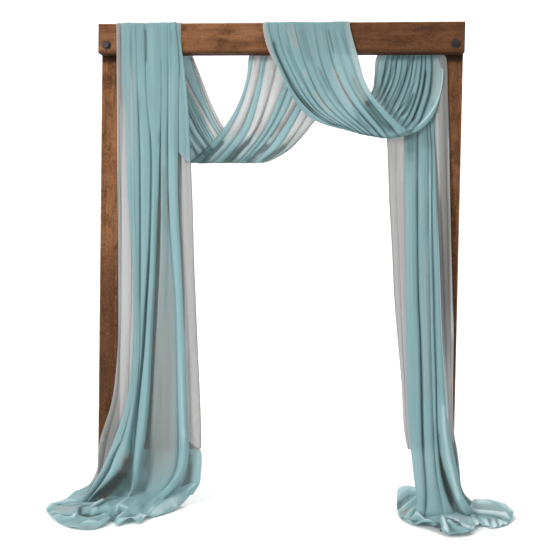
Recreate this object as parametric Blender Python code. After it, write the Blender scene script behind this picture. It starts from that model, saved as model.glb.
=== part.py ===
"""A draped wedding arch: a square timber frame on two low runners, with a long scarf
of turquoise and pale chiffon laid over its beam in two swags and two falls.

Metres, +Z up, +X to the viewer's right, and the beam's face looks along -Y. The origin
is on the floor, at the middle of the arch's footprint, cloth included.
"""

from math import cos, pi, sin

import bmesh
import bpy
from mathutils import Matrix, Vector

# Timber frame
BEAM_LENGTH = 1.829
BEAM_THICK = 0.070
BEAM_TALL = 0.148
ARCH_HEIGHT = 2.438
POST_SIDE = 0.089
FOOT_TALL = 0.038
FOOT_LENGTH = 0.700
ARRIS = 0.003
SEAT = 0.0003  # the gap left between two pieces that touch

# Bolts through beam and post
BOLT_INSET = 0.0445
BOLT_BELOW_TOP = 0.109
BOLT_RADIUS = 0.008
BOLT_HOLE_RADIUS = 0.009
HEX_FLAT_RADIUS = 0.012
HEAD_TALL = 0.010
NUT_TALL = 0.013
WASHER_RADIUS = 0.022
WASHER_THICK = 0.004
BOLT_TIP = 0.005
ROUND_STEPS = 24

# Steel angles between post and foot
ANGLE_LEG = 0.050
ANGLE_THICK = 0.004
ANGLE_WIDTH = 0.060

# Screw hooks for the cloth, on the beam's back
HOOK_WIRE = 0.0025
HOOK_REACH = 0.024
HOOK_TIP = 0.016
HOOK_PLACES = (0.600, 0.735)
HOOK_BELOW_TOP = 0.046

# Cloth, as plain solids of its outer shape
CLOTH_FRONT = -0.030
UNDERLAY_THICK = 0.012
WRAP_THICK = 0.014
LEG_DEPTH = 0.042
BELLY_PROUD = 0.010
BACK_SLACK = 0.004
PUDDLE_TALL = 0.100
PUDDLE_SLOPE = ((0.08, 0.0), (0.47, 0.42), (0.66, 0.85))  # share of the height, of the way in
FOLD_TURN = 0.012

# The cloth reaches further to the right than to the left, so the frame's middle
# stands this far to the left of the origin
ARCH_X = -0.040

BEAM_BOTTOM = ARCH_HEIGHT - BEAM_TALL
POST_FRONT = BEAM_THICK + SEAT
POST_BACK = POST_FRONT + POST_SIDE
POST_MIDDLE_Y = (POST_FRONT + POST_BACK) / 2
POST_OUTER = BEAM_LENGTH / 2
POST_INNER = POST_OUTER - POST_SIDE
POST_BOTTOM = FOOT_TALL + SEAT
BOLT_X = POST_OUTER - BOLT_INSET
BOLT_Z = ARCH_HEIGHT - BOLT_BELOW_TOP
SIDES = {"left": -1, "right": 1}


def clear_scene():
    for old in list(bpy.data.objects):
        bpy.data.objects.remove(old, do_unlink=True)


def make_material(name, colour, roughness, metallic=0.0):
    material = bpy.data.materials.new(name)
    material.use_nodes = True
    shader = material.node_tree.nodes["Principled BSDF"]
    shader.inputs["Base Color"].default_value = (*colour, 1.0)
    shader.inputs["Roughness"].default_value = roughness
    shader.inputs["Metallic"].default_value = metallic
    material.diffuse_color = (*colour, 1.0)
    return material


def finish_object(name, bm, material, bevel=0.0, smooth=False):
    """Turns a bmesh into a named object on the arch's empty."""
    bmesh.ops.recalc_face_normals(bm, faces=bm.faces)
    mesh = bpy.data.meshes.new(name)
    bm.to_mesh(mesh)
    bm.free()
    if smooth:
        mesh.shade_smooth()
        mesh.set_sharp_from_angle(angle=pi / 6)
    mesh.materials.append(material)
    obj = bpy.data.objects.new(name, mesh)
    bpy.context.scene.collection.objects.link(obj)
    obj.parent = arch
    if bevel:
        modifier = obj.modifiers.new("Bevel", "BEVEL")
        modifier.width = bevel
        modifier.segments = 1
        modifier.limit_method = "ANGLE"
        modifier.angle_limit = pi / 5
    return obj


def box(name, low, high, material, bevel=0.0):
    bm = bmesh.new()
    bmesh.ops.create_cube(bm, size=1.0)
    size = Vector(high) - Vector(low)
    middle = (Vector(high) + Vector(low)) / 2
    stretch = Matrix.Translation(middle) @ Matrix.Diagonal((*size, 1.0))
    bmesh.ops.transform(bm, matrix=stretch, verts=bm.verts)
    return finish_object(name, bm, material, bevel)


def add_cut(obj, cutter):
    """Cuts another object's shape away. The cutter is shown as wire and not rendered."""
    cutter.hide_render = True
    cutter.display_type = "WIRE"
    modifier = obj.modifiers.new("Cut " + cutter.name, "BOOLEAN")
    modifier.operation = "DIFFERENCE"
    modifier.solver = "EXACT"
    modifier.object = cutter


def extrude_outline(name, outline, along, start, stop, material):
    """Extrudes an outline: one in X and Z along Y, or one in Y and Z along X."""
    bm = bmesh.new()
    if along == "Y":
        ring = [bm.verts.new((a, start, b)) for a, b in outline]
        step = Vector((0, stop - start, 0))
    else:
        ring = [bm.verts.new((start, a, b)) for a, b in outline]
        step = Vector((stop - start, 0, 0))
    face = bm.faces.new(ring)
    moved = bmesh.ops.extrude_face_region(bm, geom=[face])["geom"]
    far_side = [item for item in moved if isinstance(item, bmesh.types.BMVert)]
    bmesh.ops.translate(bm, vec=step, verts=far_side)
    return finish_object(name, bm, material)


def loft_rings(name, rings, material, closed=False, smooth=False):
    """Joins rings of points, each with as many points, with faces between them."""
    bm = bmesh.new()
    rows = [[bm.verts.new(point) for point in ring] for ring in rings]
    count = len(rows[0])
    pairs = list(zip(rows, rows[1:]))
    if closed:
        pairs.append((rows[-1], rows[0]))
    for lower, upper in pairs:
        for i in range(count):
            j = (i + 1) % count
            bm.faces.new((lower[i], lower[j], upper[j], upper[i]))
    if not closed:
        bm.faces.new(rows[0])
        bm.faces.new(reversed(rows[-1]))
    return finish_object(name, bm, material, smooth=smooth)


def rod_ring(x, y, z, radius, six_sided=False):
    """A ring about a line along Y, round or with the outline of a hexagon."""
    points = []
    for i in range(ROUND_STEPS):
        angle = 2 * pi * i / ROUND_STEPS
        reach = radius
        if six_sided:
            reach = radius / cos((angle % (pi / 3)) - pi / 6)
        points.append((x + reach * cos(angle), y, z + reach * sin(angle)))
    return points


def loft_cloth(name, stations, material):
    """A hanging cloth's solid, from stations of height, left, right, front and back."""
    rings = []
    for z, left, right, front, back in stations:
        ends = (back - front) * 0.35
        rings.append(
            [
                (left, (front + back) / 2, z),
                (left + ends, front, z),
                (right - ends, front, z),
                (right, (front + back) / 2, z),
                (right - ends, back, z),
                (left + ends, back, z),
            ]
        )
    return loft_rings(name, rings, material)


def loft_folds(name, stations, material):
    """The left fall's solid: two swells of folds, an open panel set back and a strand.

    A station has its height, back, six places across the swells (left edge, end of the
    first swell, valley, start and end of the second swell), three across the rest (end
    of the panel, strand, right edge), and the fronts of all five.
    """
    rings = []
    for z, back, swells, rest, fronts in stations:
        left, swell_1, valley, swell_2, swell_2_end, panel = swells
        panel_end, strand, right = rest
        front_1, front_valley, front_2, front_panel, front_strand = fronts
        rings.append(
            [
                (left, (front_1 + back) / 2, z),
                (left + FOLD_TURN, front_1, z),
                (swell_1, front_1, z),
                (valley, front_valley, z),
                (swell_2, front_2, z),
                (swell_2_end, front_2, z),
                (panel, front_panel, z),
                (panel_end, front_panel, z),
                (strand, front_strand, z),
                (right, (front_strand + back) / 2, z),
                (right - FOLD_TURN, back, z),
                (left + FOLD_TURN, back, z),
            ]
        )
    return loft_rings(name, rings, material)


def make_puddle(name, outline, top, material):
    """Cloth heaped on the floor: thin at its outline and heaped round the fall's foot."""
    rings = [[(x, y, 0.0) for x, y in outline]]
    for tall, share in PUDDLE_SLOPE:
        ring = [
            (a[0] + (b[0] - a[0]) * share, a[1] + (b[1] - a[1]) * share, PUDDLE_TALL * tall)
            for a, b in zip(outline, top)
        ]
        rings.append(ring)
    rings.append([(x, y, PUDDLE_TALL - SEAT) for x, y in top])
    return loft_rings(name, rings, material)


clear_scene()
arch = bpy.data.objects.new("arch", None)
arch.location.x = ARCH_X
bpy.context.scene.collection.objects.link(arch)

beam_wood = make_material("beam_timber", (0.26, 0.13, 0.07), 0.75)
post_wood = make_material("post_timber", (0.22, 0.11, 0.055), 0.75)
foot_wood = make_material("foot_timber", (0.20, 0.10, 0.05), 0.8)
dark_steel = make_material("dark_steel", (0.06, 0.06, 0.07), 0.4, 1.0)
zinc_steel = make_material("zinc_steel", (0.45, 0.45, 0.47), 0.4, 1.0)
turquoise = make_material("turquoise_chiffon", (0.24, 0.46, 0.48), 0.8)
pale = make_material("pale_chiffon", (0.55, 0.54, 0.52), 0.8)


# Timber
beam = box(
    "header_beam",
    (-POST_OUTER, 0, BEAM_BOTTOM),
    (POST_OUTER, BEAM_THICK, ARCH_HEIGHT),
    beam_wood,
    ARRIS,
)
for side, sign in SIDES.items():
    inner, outer = sorted((sign * POST_INNER, sign * POST_OUTER))
    post = box(
        side + "_post",
        (inner, POST_FRONT, POST_BOTTOM),
        (outer, POST_BACK, ARCH_HEIGHT),
        post_wood,
        ARRIS,
    )
    box(
        side + "_foot",
        (inner, POST_MIDDLE_Y - FOOT_LENGTH / 2, 0),
        (outer, POST_MIDDLE_Y + FOOT_LENGTH / 2, FOOT_TALL),
        foot_wood,
        ARRIS,
    )
    bolt_x = sign * BOLT_X
    hole = loft_rings(
        side + "_bolt_hole",
        [rod_ring(bolt_x, y, BOLT_Z, BOLT_HOLE_RADIUS) for y in (-0.01, POST_BACK + 0.01)],
        dark_steel,
    )
    add_cut(beam, hole)
    add_cut(post, hole)


# Bolts: head and shank in one piece, a washer at each end, and a nut
head_front = -SEAT - WASHER_THICK - SEAT - HEAD_TALL
head_back = head_front + HEAD_TALL
back_washer_front = POST_BACK + SEAT
nut_front = back_washer_front + WASHER_THICK + SEAT
bolt_end = nut_front + NUT_TALL + BOLT_TIP
for side, sign in SIDES.items():
    bolt_x = sign * BOLT_X
    loft_rings(
        side + "_bolt",
        [
            rod_ring(bolt_x, head_front, BOLT_Z, HEX_FLAT_RADIUS, six_sided=True),
            rod_ring(bolt_x, head_back, BOLT_Z, HEX_FLAT_RADIUS, six_sided=True),
            rod_ring(bolt_x, head_back, BOLT_Z, BOLT_RADIUS),
            rod_ring(bolt_x, bolt_end, BOLT_Z, BOLT_RADIUS),
        ],
        dark_steel,
        smooth=True,
    )
    for place, front in (("front", -SEAT - WASHER_THICK), ("back", back_washer_front)):
        back = front + WASHER_THICK
        loft_rings(
            side + "_" + place + "_washer",
            [
                rod_ring(bolt_x, front, BOLT_Z, WASHER_RADIUS),
                rod_ring(bolt_x, back, BOLT_Z, WASHER_RADIUS),
                rod_ring(bolt_x, back, BOLT_Z, BOLT_HOLE_RADIUS),
                rod_ring(bolt_x, front, BOLT_Z, BOLT_HOLE_RADIUS),
            ],
            dark_steel,
            closed=True,
            smooth=True,
        )
    loft_rings(
        side + "_nut",
        [
            rod_ring(bolt_x, nut_front, BOLT_Z, HEX_FLAT_RADIUS, six_sided=True),
            rod_ring(bolt_x, nut_front + NUT_TALL, BOLT_Z, HEX_FLAT_RADIUS, six_sided=True),
            rod_ring(bolt_x, nut_front + NUT_TALL, BOLT_Z, BOLT_RADIUS + 2 * SEAT),
            rod_ring(bolt_x, nut_front, BOLT_Z, BOLT_RADIUS + 2 * SEAT),
        ],
        dark_steel,
        closed=True,
        smooth=True,
    )


# Steel angles, one before and one behind each post
for side, sign in SIDES.items():
    angle_x = sign * (POST_INNER + POST_SIDE / 2)
    for place, face, away in (("front", POST_FRONT - SEAT, -1), ("back", POST_BACK + SEAT, 1)):
        base = POST_BOTTOM
        profile = [
            (face, base),
            (face, base + ANGLE_LEG),
            (face + away * ANGLE_THICK, base + ANGLE_LEG),
            (face + away * ANGLE_THICK, base + ANGLE_THICK),
            (face + away * ANGLE_LEG, base + ANGLE_THICK),
            (face + away * ANGLE_LEG, base),
        ]
        extrude_outline(
            side + "_" + place + "_angle",
            profile,
            "X",
            angle_x - ANGLE_WIDTH / 2,
            angle_x + ANGLE_WIDTH / 2,
            zinc_steel,
        )


# Screw hooks: out from the beam's back, then round and up to a tip
for number, hook_x in enumerate(HOOK_PLACES, start=1):
    hook_z = ARCH_HEIGHT - HOOK_BELOW_TOP
    bend = HOOK_REACH / 3
    route = [(hook_x, BEAM_THICK + SEAT, hook_z), (hook_x, BEAM_THICK + HOOK_REACH - bend, hook_z)]
    for step in range(1, 7):
        turn = pi / 2 * step / 6
        y = BEAM_THICK + HOOK_REACH - bend + bend * sin(turn)
        z = hook_z + bend - bend * cos(turn)
        route.append((hook_x, y, z))
    route.append((hook_x, BEAM_THICK + HOOK_REACH, hook_z + bend + HOOK_TIP))
    curve = bpy.data.curves.new("cloth_hook_%d" % number, "CURVE")
    curve.dimensions = "3D"
    curve.bevel_depth = HOOK_WIRE
    curve.bevel_resolution = 2
    curve.use_fill_caps = True
    spline = curve.splines.new("POLY")
    spline.points.add(len(route) - 1)
    for point, place in zip(spline.points, route):
        point.co = (*place, 1.0)
    curve.materials.append(zinc_steel)
    hook = bpy.data.objects.new("cloth_hook_%d" % number, curve)
    bpy.context.scene.collection.objects.link(hook)
    hook.parent = arch


# Left fall: turquoise in front, pale cloth behind it and showing at its edges
underlay_front = -SEAT - UNDERLAY_THICK
fall_back = underlay_front - SEAT
flat_front = (CLOTH_FRONT, CLOTH_FRONT, CLOTH_FRONT, CLOTH_FRONT, CLOTH_FRONT)
loft_folds(
    "left_fall",
    [
        (
            ARCH_HEIGHT + SEAT, fall_back,
            (-0.785, -0.715, -0.695, -0.675, -0.600, -0.585), (-0.555, -0.530, -0.500), flat_front,
        ),
        (
            BEAM_BOTTOM, fall_back,
            (-0.785, -0.710, -0.690, -0.670, -0.600, -0.585), (-0.555, -0.530, -0.497), flat_front,
        ),
        (
            1.70, fall_back,
            (-0.758, -0.695, -0.685, -0.675, -0.600, -0.585), (-0.548, -0.525, -0.490),
            (-0.032, -0.022, -0.034, -0.023, -0.028),
        ),
        (
            1.00, fall_back,
            (-0.716, -0.678, -0.655, -0.640, -0.603, -0.590), (-0.505, -0.480, -0.455),
            (-0.036, -0.020, -0.048, -0.021, -0.028),
        ),
        (
            0.55, fall_back,
            (-0.732, -0.698, -0.682, -0.665, -0.630, -0.610), (-0.485, -0.460, -0.427),
            (-0.054, -0.022, -0.060, -0.021, -0.034),
        ),
        (
            0.28, fall_back - 0.015,
            (-0.812, -0.750, -0.712, -0.675, -0.655, -0.638), (-0.485, -0.462, -0.410),
            (-0.086, -0.045, -0.085, -0.036, -0.048),
        ),
        (
            PUDDLE_TALL, -0.035,
            (-0.895, -0.848, -0.770, -0.705, -0.685, -0.665), (-0.560, -0.535, -0.480),
            (-0.150, -0.080, -0.122, -0.058, -0.090),
        ),
    ],
    turquoise,
)
loft_cloth(
    "left_fall_underlay",
    [
        (ARCH_HEIGHT + SEAT, -0.808, -0.478, underlay_front, -SEAT),
        (BEAM_BOTTOM, -0.803, -0.470, underlay_front, -SEAT),
        (1.70, -0.797, -0.433, underlay_front, 0.020),
        (1.00, -0.792, -0.395, underlay_front, 0.030),
        (0.55, -0.820, -0.361, underlay_front, 0.030),
        (0.28, -0.890, -0.357, underlay_front - 0.015, 0.030),
        (PUDDLE_TALL, -0.915, -0.360, -0.035 + SEAT, 0.030),
    ],
    pale,
)

# The cloth over the beam: a strip on its top and a strip down its back
leg_front = BEAM_THICK + BACK_SLACK
leg_back = leg_front + LEG_DEPTH
wrap_back = leg_front + WRAP_THICK
wrap_profile = [
    (CLOTH_FRONT, ARCH_HEIGHT + 2 * SEAT),
    (leg_front, ARCH_HEIGHT + 2 * SEAT),
    (leg_front, BEAM_BOTTOM + SEAT),
    (wrap_back, BEAM_BOTTOM + SEAT),
    (wrap_back, ARCH_HEIGHT + WRAP_THICK),
    (CLOTH_FRONT, ARCH_HEIGHT + WRAP_THICK),
]
for name, left, right in (("left_beam_wrap", -0.785, -0.500), ("centre_beam_wrap", -0.066, 0.356)):
    extrude_outline(name, wrap_profile, "X", left, right, turquoise)

# First swag, behind the beam: two legs and the belly between them
extrude_outline(
    "swag_1_left_leg",
    [
        (-0.617, BEAM_BOTTOM), (-0.450, BEAM_BOTTOM), (-0.388, 2.132), (-0.327, 2.010),
        (-0.279, 1.929), (-0.377, 1.852), (-0.517, 1.852), (-0.571, 2.019),
    ],
    "Y",
    leg_front,
    leg_back,
    turquoise,
)
extrude_outline(
    "swag_1_right_leg",
    [
        (-0.167, BEAM_BOTTOM), (0.230, BEAM_BOTTOM), (0.259, 2.071), (0.200, 1.971),
        (0.136, 1.910 + SEAT), (-0.2785, 1.929 + SEAT), (-0.239, 2.010), (-0.195, 2.132),
    ],
    "Y",
    leg_front,
    leg_back,
    turquoise,
)
extrude_outline(
    "swag_1_belly",
    [
        (-0.517, 1.852 - SEAT), (-0.377, 1.852 - SEAT), (-0.279, 1.929 - SEAT),
        (0.136, 1.910 - SEAT), (0.106, 1.870), (0.015, 1.788), (-0.107, 1.747),
        (-0.448, 1.739), (-0.516, 1.749),
    ],
    "Y",
    leg_front - BELLY_PROUD,
    leg_back + BELLY_PROUD,
    turquoise,
)

# Second swag: down the beam's face, under the beam and up behind it
extrude_outline(
    "swag_2_front",
    [
        (-0.064, ARCH_HEIGHT + SEAT), (0.354, ARCH_HEIGHT + SEAT), (0.392, 2.265),
        (0.422, 2.187), (0.463, 2.106), (0.112, 2.021), (0.040, 2.124), (-0.027, 2.296),
    ],
    "Y",
    CLOTH_FRONT,
    -SEAT,
    turquoise,
)
extrude_outline(
    "swag_2_belly",
    [
        (0.112, 2.021 - SEAT), (0.463, 2.106 - SEAT), (0.499, 2.061), (0.808, 2.061),
        (0.766, 1.974), (0.684, 1.904), (0.542, 1.869), (0.329, 1.923), (0.194, 1.942),
    ],
    "Y",
    CLOTH_FRONT + BELLY_PROUD,
    leg_front - SEAT,
    turquoise,
)
hook_under = ARCH_HEIGHT - HOOK_BELOW_TOP - HOOK_WIRE - SEAT
extrude_outline(
    "swag_2_back_leg",
    [
        (0.486, hook_under), (0.822, hook_under), (0.822, BEAM_BOTTOM), (0.806, 2.010),
        (0.500, 2.010), (0.470, 2.117), (0.486, BEAM_BOTTOM),
    ],
    "Y",
    leg_front,
    leg_back,
    turquoise,
)

# Right fall: from the hooks down behind the swag, then forward past the post's face
fall_2_front = leg_back + SEAT
loft_cloth(
    "right_fall",
    [
        (hook_under, 0.560, 0.800, fall_2_front, fall_2_front + 0.022),
        (2.000, 0.590, 0.815, fall_2_front, fall_2_front + 0.022),
        (1.820, 0.625, 0.820, 0.072, 0.096),
        (1.500, 0.628, 0.822, -0.002, 0.024),
        (1.000, 0.642, 0.829, -0.014, 0.016),
        (0.600, 0.656, 0.852, -0.028, 0.012),
        (0.330, 0.680, 0.895, -0.050, 0.008),
        (PUDDLE_TALL, 0.698, 0.960, -0.104, -0.030),
    ],
    turquoise,
)
loft_cloth(
    "right_fall_underlay",
    [
        (hook_under, 0.540, 0.822, fall_2_front + 0.022 + SEAT, fall_2_front + 0.034),
        (2.000, 0.545, 0.822, fall_2_front + 0.022 + SEAT, fall_2_front + 0.036),
        (1.820, 0.553, 0.8245, 0.096 + SEAT, 0.116),
        (1.500, 0.572, 0.8250, 0.024 + SEAT, 0.050),
        (1.300, 0.583, 0.860, 0.021 + SEAT, 0.046),
        (1.000, 0.610, 0.880, 0.016 + SEAT, 0.042),
        (0.600, 0.650, 0.895, 0.012 + SEAT, 0.038),
        (0.330, 0.668, 0.908, 0.008 + SEAT, 0.034),
        (PUDDLE_TALL, 0.690, 0.950, -0.030 + SEAT, 0.016),
    ],
    pale,
)


# Cloth on the floor, with room cut in it for the foot, the angle and the post
left_puddle = make_puddle(
    "left_puddle",
    [
        (-1.149, -0.018), (-1.113, -0.174), (-1.063, -0.268), (-0.921, -0.437), (-0.865, -0.465),
        (-0.753, -0.458), (-0.660, -0.399), (-0.570, -0.330), (-0.510, -0.220), (-0.450, -0.110),
        (-0.400, 0.010), (-0.410, 0.070), (-0.700, 0.090), (-1.040, 0.110),
    ],
    [
        (-0.960, -0.040), (-0.958, -0.120), (-0.940, -0.170), (-0.900, -0.190), (-0.850, -0.195),
        (-0.750, -0.190), (-0.660, -0.185), (-0.560, -0.180), (-0.480, -0.160), (-0.420, -0.090),
        (-0.362, 0.008), (-0.370, 0.030), (-0.700, 0.034), (-0.955, 0.040),
    ],
    turquoise,
)
right_puddle = make_puddle(
    "right_puddle",
    [
        (0.626, 0.032), (0.651, -0.066), (0.696, -0.203), (0.736, -0.243), (0.808, -0.321),
        (0.961, -0.300), (1.010, -0.203), (1.131, -0.140), (1.200, -0.034), (1.229, 0.060),
        (1.130, 0.150), (0.980, 0.160), (0.800, 0.120), (0.655, 0.100),
    ],
    [
        (0.665, 0.010), (0.668, -0.040), (0.690, -0.085), (0.730, -0.115), (0.800, -0.128),
        (0.900, -0.128), (0.950, -0.112), (0.968, -0.080), (0.974, -0.040), (0.974, -0.005),
        (0.966, 0.018), (0.930, 0.024), (0.800, 0.024), (0.682, 0.022),
    ],
    turquoise,
)
foot_front = POST_MIDDLE_Y - FOOT_LENGTH / 2
room_front = foot_front - SEAT
angle_room = POST_FRONT - ANGLE_LEG - 2 * SEAT
past_back = FOOT_LENGTH
for side, sign, puddle in (("left", -1, left_puddle), ("right", 1, right_puddle)):
    inner, outer = sorted((sign * POST_INNER, sign * POST_OUTER))
    room = extrude_outline(
        side + "_post_room",
        [
            (room_front, -0.010), (past_back, -0.010), (past_back, PUDDLE_TALL + 0.050),
            (angle_room, PUDDLE_TALL + 0.050), (angle_room, FOOT_TALL + SEAT),
            (room_front, FOOT_TALL + SEAT),
        ],
        "X",
        inner - SEAT,
        outer + SEAT,
        puddle.data.materials[0],
    )
    add_cut(puddle, room)
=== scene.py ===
# Looks for the draped wedding arch: timber, steel and two chiffon scarves.
# Metres, +Z up, the beam's face looks along -Y. Cloth is drawn from fold lines, each a run
# of places in the 560-wide view with a depth. The cloth bulges between the lines, by
# heights in millimetres.

from math import cos, pi, radians, sin

import bmesh
import bpy
import numpy as np
from mathutils import Matrix, Vector


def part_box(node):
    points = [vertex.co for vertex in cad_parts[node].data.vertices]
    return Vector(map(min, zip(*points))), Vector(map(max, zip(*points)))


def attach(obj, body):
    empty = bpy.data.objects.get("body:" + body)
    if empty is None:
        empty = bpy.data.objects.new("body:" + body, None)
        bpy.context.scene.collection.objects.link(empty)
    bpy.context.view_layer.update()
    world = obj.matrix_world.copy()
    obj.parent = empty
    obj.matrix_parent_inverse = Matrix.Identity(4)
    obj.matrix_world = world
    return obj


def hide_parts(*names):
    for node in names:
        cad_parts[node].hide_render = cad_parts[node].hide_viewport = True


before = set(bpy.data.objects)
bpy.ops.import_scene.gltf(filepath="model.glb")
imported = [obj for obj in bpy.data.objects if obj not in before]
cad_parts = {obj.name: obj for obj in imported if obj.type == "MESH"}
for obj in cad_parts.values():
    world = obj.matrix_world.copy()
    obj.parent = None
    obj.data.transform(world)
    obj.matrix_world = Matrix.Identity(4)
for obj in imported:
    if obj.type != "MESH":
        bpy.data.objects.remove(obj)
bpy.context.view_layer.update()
beamLow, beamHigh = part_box("header_beam")
print("frame loaded")


# Camera
view = {
    "place": (0.3853, -4.4002, 1.3008),
    "turnLeft": 5.145,
    "tilt": -1.8246,
    "roll": 0.9619,
    "lens": 56.78,
    "width": 560,
}


def viewAxes():
    yaw = radians(view["turnLeft"])
    tilt = radians(view["tilt"])
    roll = radians(view["roll"])
    ahead = np.array((-sin(yaw) * cos(tilt), cos(yaw) * cos(tilt), sin(tilt)))
    level = np.array((cos(yaw), sin(yaw), 0.0))
    above = np.cross(level, ahead)
    right = cos(roll) * level + sin(roll) * above
    up = cos(roll) * above - sin(roll) * level
    return right, up, ahead


rightAxis, upAxis, aheadAxis = viewAxes()
viewPlace = np.array(view["place"])
focal = view["lens"] / 36 * view["width"]


def sight(across, down):
    half = view["width"] / 2
    return aheadAxis + (across - half) / focal * rightAxis - (down - half) / focal * upAxis


def at(across, down, depth):
    # a place in the view, at a depth behind the beam's face
    ray = sight(across, down)
    return viewPlace + ray * (depth - viewPlace[1]) / ray[1]


def low(across, down, height=0.004):
    # a place in the view, at a height above the floor, or at that of a hem lying on it
    ray = sight(across, down)
    return viewPlace + ray * (height - viewPlace[2]) / ray[2]


def addCamera():
    data = bpy.data.cameras.new("Camera")
    data.lens = view["lens"]
    data.sensor_width = 36
    camera = bpy.data.objects.new("Camera", data)
    turn = Matrix((rightAxis, upAxis, -aheadAxis)).transposed().to_4x4()
    camera.matrix_world = Matrix.Translation(view["place"]) @ turn
    bpy.context.scene.collection.objects.link(camera)
    bpy.context.scene.camera = camera


addCamera()
print("camera placed")


# Shader maths
class Wire:
    def __init__(self, tree, socket=None):
        self.tree = tree
        self.socket = socket

    def node(self, kind, settings=None, inputs=None, output=0):
        made = self.tree.nodes.new(kind)
        for name, value in (settings or {}).items():
            if name == "stops":
                ramp = made.color_ramp
                while len(ramp.elements) < len(value):
                    ramp.elements.new(0.5)
                for element, (place, colour) in zip(ramp.elements, value):
                    element.position = place
                    element.color = colour
            else:
                setattr(made, name, value)
        for name, value in (inputs or {}).items():
            if isinstance(value, Wire):
                self.tree.links.new(value.socket, made.inputs[name])
            else:
                made.inputs[name].default_value = value
        return Wire(self.tree, made.outputs[output] if len(made.outputs) else None)

    def maths(self, operation, first, second=0.0):
        return self.node("ShaderNodeMath", {"operation": operation}, {0: first, 1: second})

    def __add__(self, other):
        return self.maths("ADD", self, other)

    def __radd__(self, other):
        return self.maths("ADD", other, self)

    def __sub__(self, other):
        return self.maths("SUBTRACT", self, other)

    def __rsub__(self, other):
        return self.maths("SUBTRACT", other, self)

    def __mul__(self, other):
        return self.maths("MULTIPLY", self, other)

    def __rmul__(self, other):
        return self.maths("MULTIPLY", other, self)

    def __truediv__(self, other):
        return self.maths("DIVIDE", self, other)

    def __pow__(self, other):
        return self.maths("POWER", self, other)

    def between(self, start, stop):
        # 0 below start, 1 above stop, smooth between
        settings = {"interpolation_type": "SMOOTHSTEP"}
        inputs = {0: self, 1: start, 2: stop}
        return self.node("ShaderNodeMapRange", settings, inputs)

    def mix(self, first, second):
        # two colours, mixed by this value
        settings = {"data_type": "RGBA"}
        return self.node("ShaderNodeMix", settings, {0: self, 6: first, 7: second}, 2)


def startMaterial(name):
    material = bpy.data.materials.new(name)
    material.use_nodes = True
    material.node_tree.nodes.clear()
    return material, Wire(material.node_tree)


def finishMaterial(wire, surface):
    wire.node("ShaderNodeOutputMaterial", inputs={"Surface": surface})


def coordinates(wire, kind="Object", scale=(1, 1, 1)):
    place = wire.node("ShaderNodeTexCoord", output={"Object": 3, "UV": 2}[kind])
    return wire.node("ShaderNodeMapping", inputs={"Vector": place, "Scale": scale})


def noise(wire, place, scale, detail=3.0, roughness=0.5, distortion=0.0):
    inputs = {
        "Vector": place,
        "Scale": scale,
        "Detail": detail,
        "Roughness": roughness,
        "Distortion": distortion,
    }
    return wire.node("ShaderNodeTexNoise", inputs=inputs)


def rgb(red, green, blue):
    return (red, green, blue, 1.0)


# Chiffon
# light, shine and lit are painted highlight colours, and hollow and sunk are painted shade colours, all
# laid on by ridge; for the turquoise, other is a brown that a low tone gives, mostly as painted shade in
# gaps and creases
chiffon = {
    "turquoise": {
        "colour": rgb(0.208, 0.358, 0.378),
        "deep": rgb(0.150, 0.278, 0.296),
        "light": rgb(0.300, 0.505, 0.530),
        "shine": rgb(0.62, 0.74, 0.75),
        "hollow": rgb(0.052, 0.104, 0.102),
        "second": rgb(0.37, 0.375, 0.355),
        "other": rgb(0.20, 0.155, 0.13),
        "sunk": rgb(0.050, 0.038, 0.030),
        "lit": rgb(0.300, 0.460, 0.480),
        "glow": rgb(0.20, 0.36, 0.385),
        "alpha": 0.97,
        "through": 0.22,
    },
    "pale": {
        "colour": rgb(0.235, 0.238, 0.230),
        "deep": rgb(0.190, 0.190, 0.180),
        "light": rgb(0.34, 0.345, 0.34),
        "shine": rgb(0.52, 0.53, 0.52),
        "hollow": rgb(0.125, 0.103, 0.088),
        "second": rgb(0.34, 0.355, 0.352),
        "other": rgb(0.210, 0.330, 0.345),
        "sunk": rgb(0.055, 0.105, 0.103),
        "lit": rgb(0.300, 0.460, 0.480),
        "glow": rgb(0.25, 0.255, 0.25),
        "alpha": 0.86,
        "through": 0.20,
    },
    "bright": {
        "colour": rgb(0.36, 0.37, 0.36),
        "deep": rgb(0.27, 0.265, 0.25),
        "light": rgb(0.56, 0.58, 0.575),
        "shine": rgb(0.80, 0.81, 0.80),
        "hollow": rgb(0.16, 0.145, 0.13),
        "second": rgb(0.56, 0.575, 0.57),
        "other": rgb(0.225, 0.360, 0.378),
        "sunk": rgb(0.055, 0.105, 0.103),
        "lit": rgb(0.310, 0.490, 0.510),
        "glow": rgb(0.42, 0.43, 0.43),
        "alpha": 0.90,
        "through": 0.25,
    },
}


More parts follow.
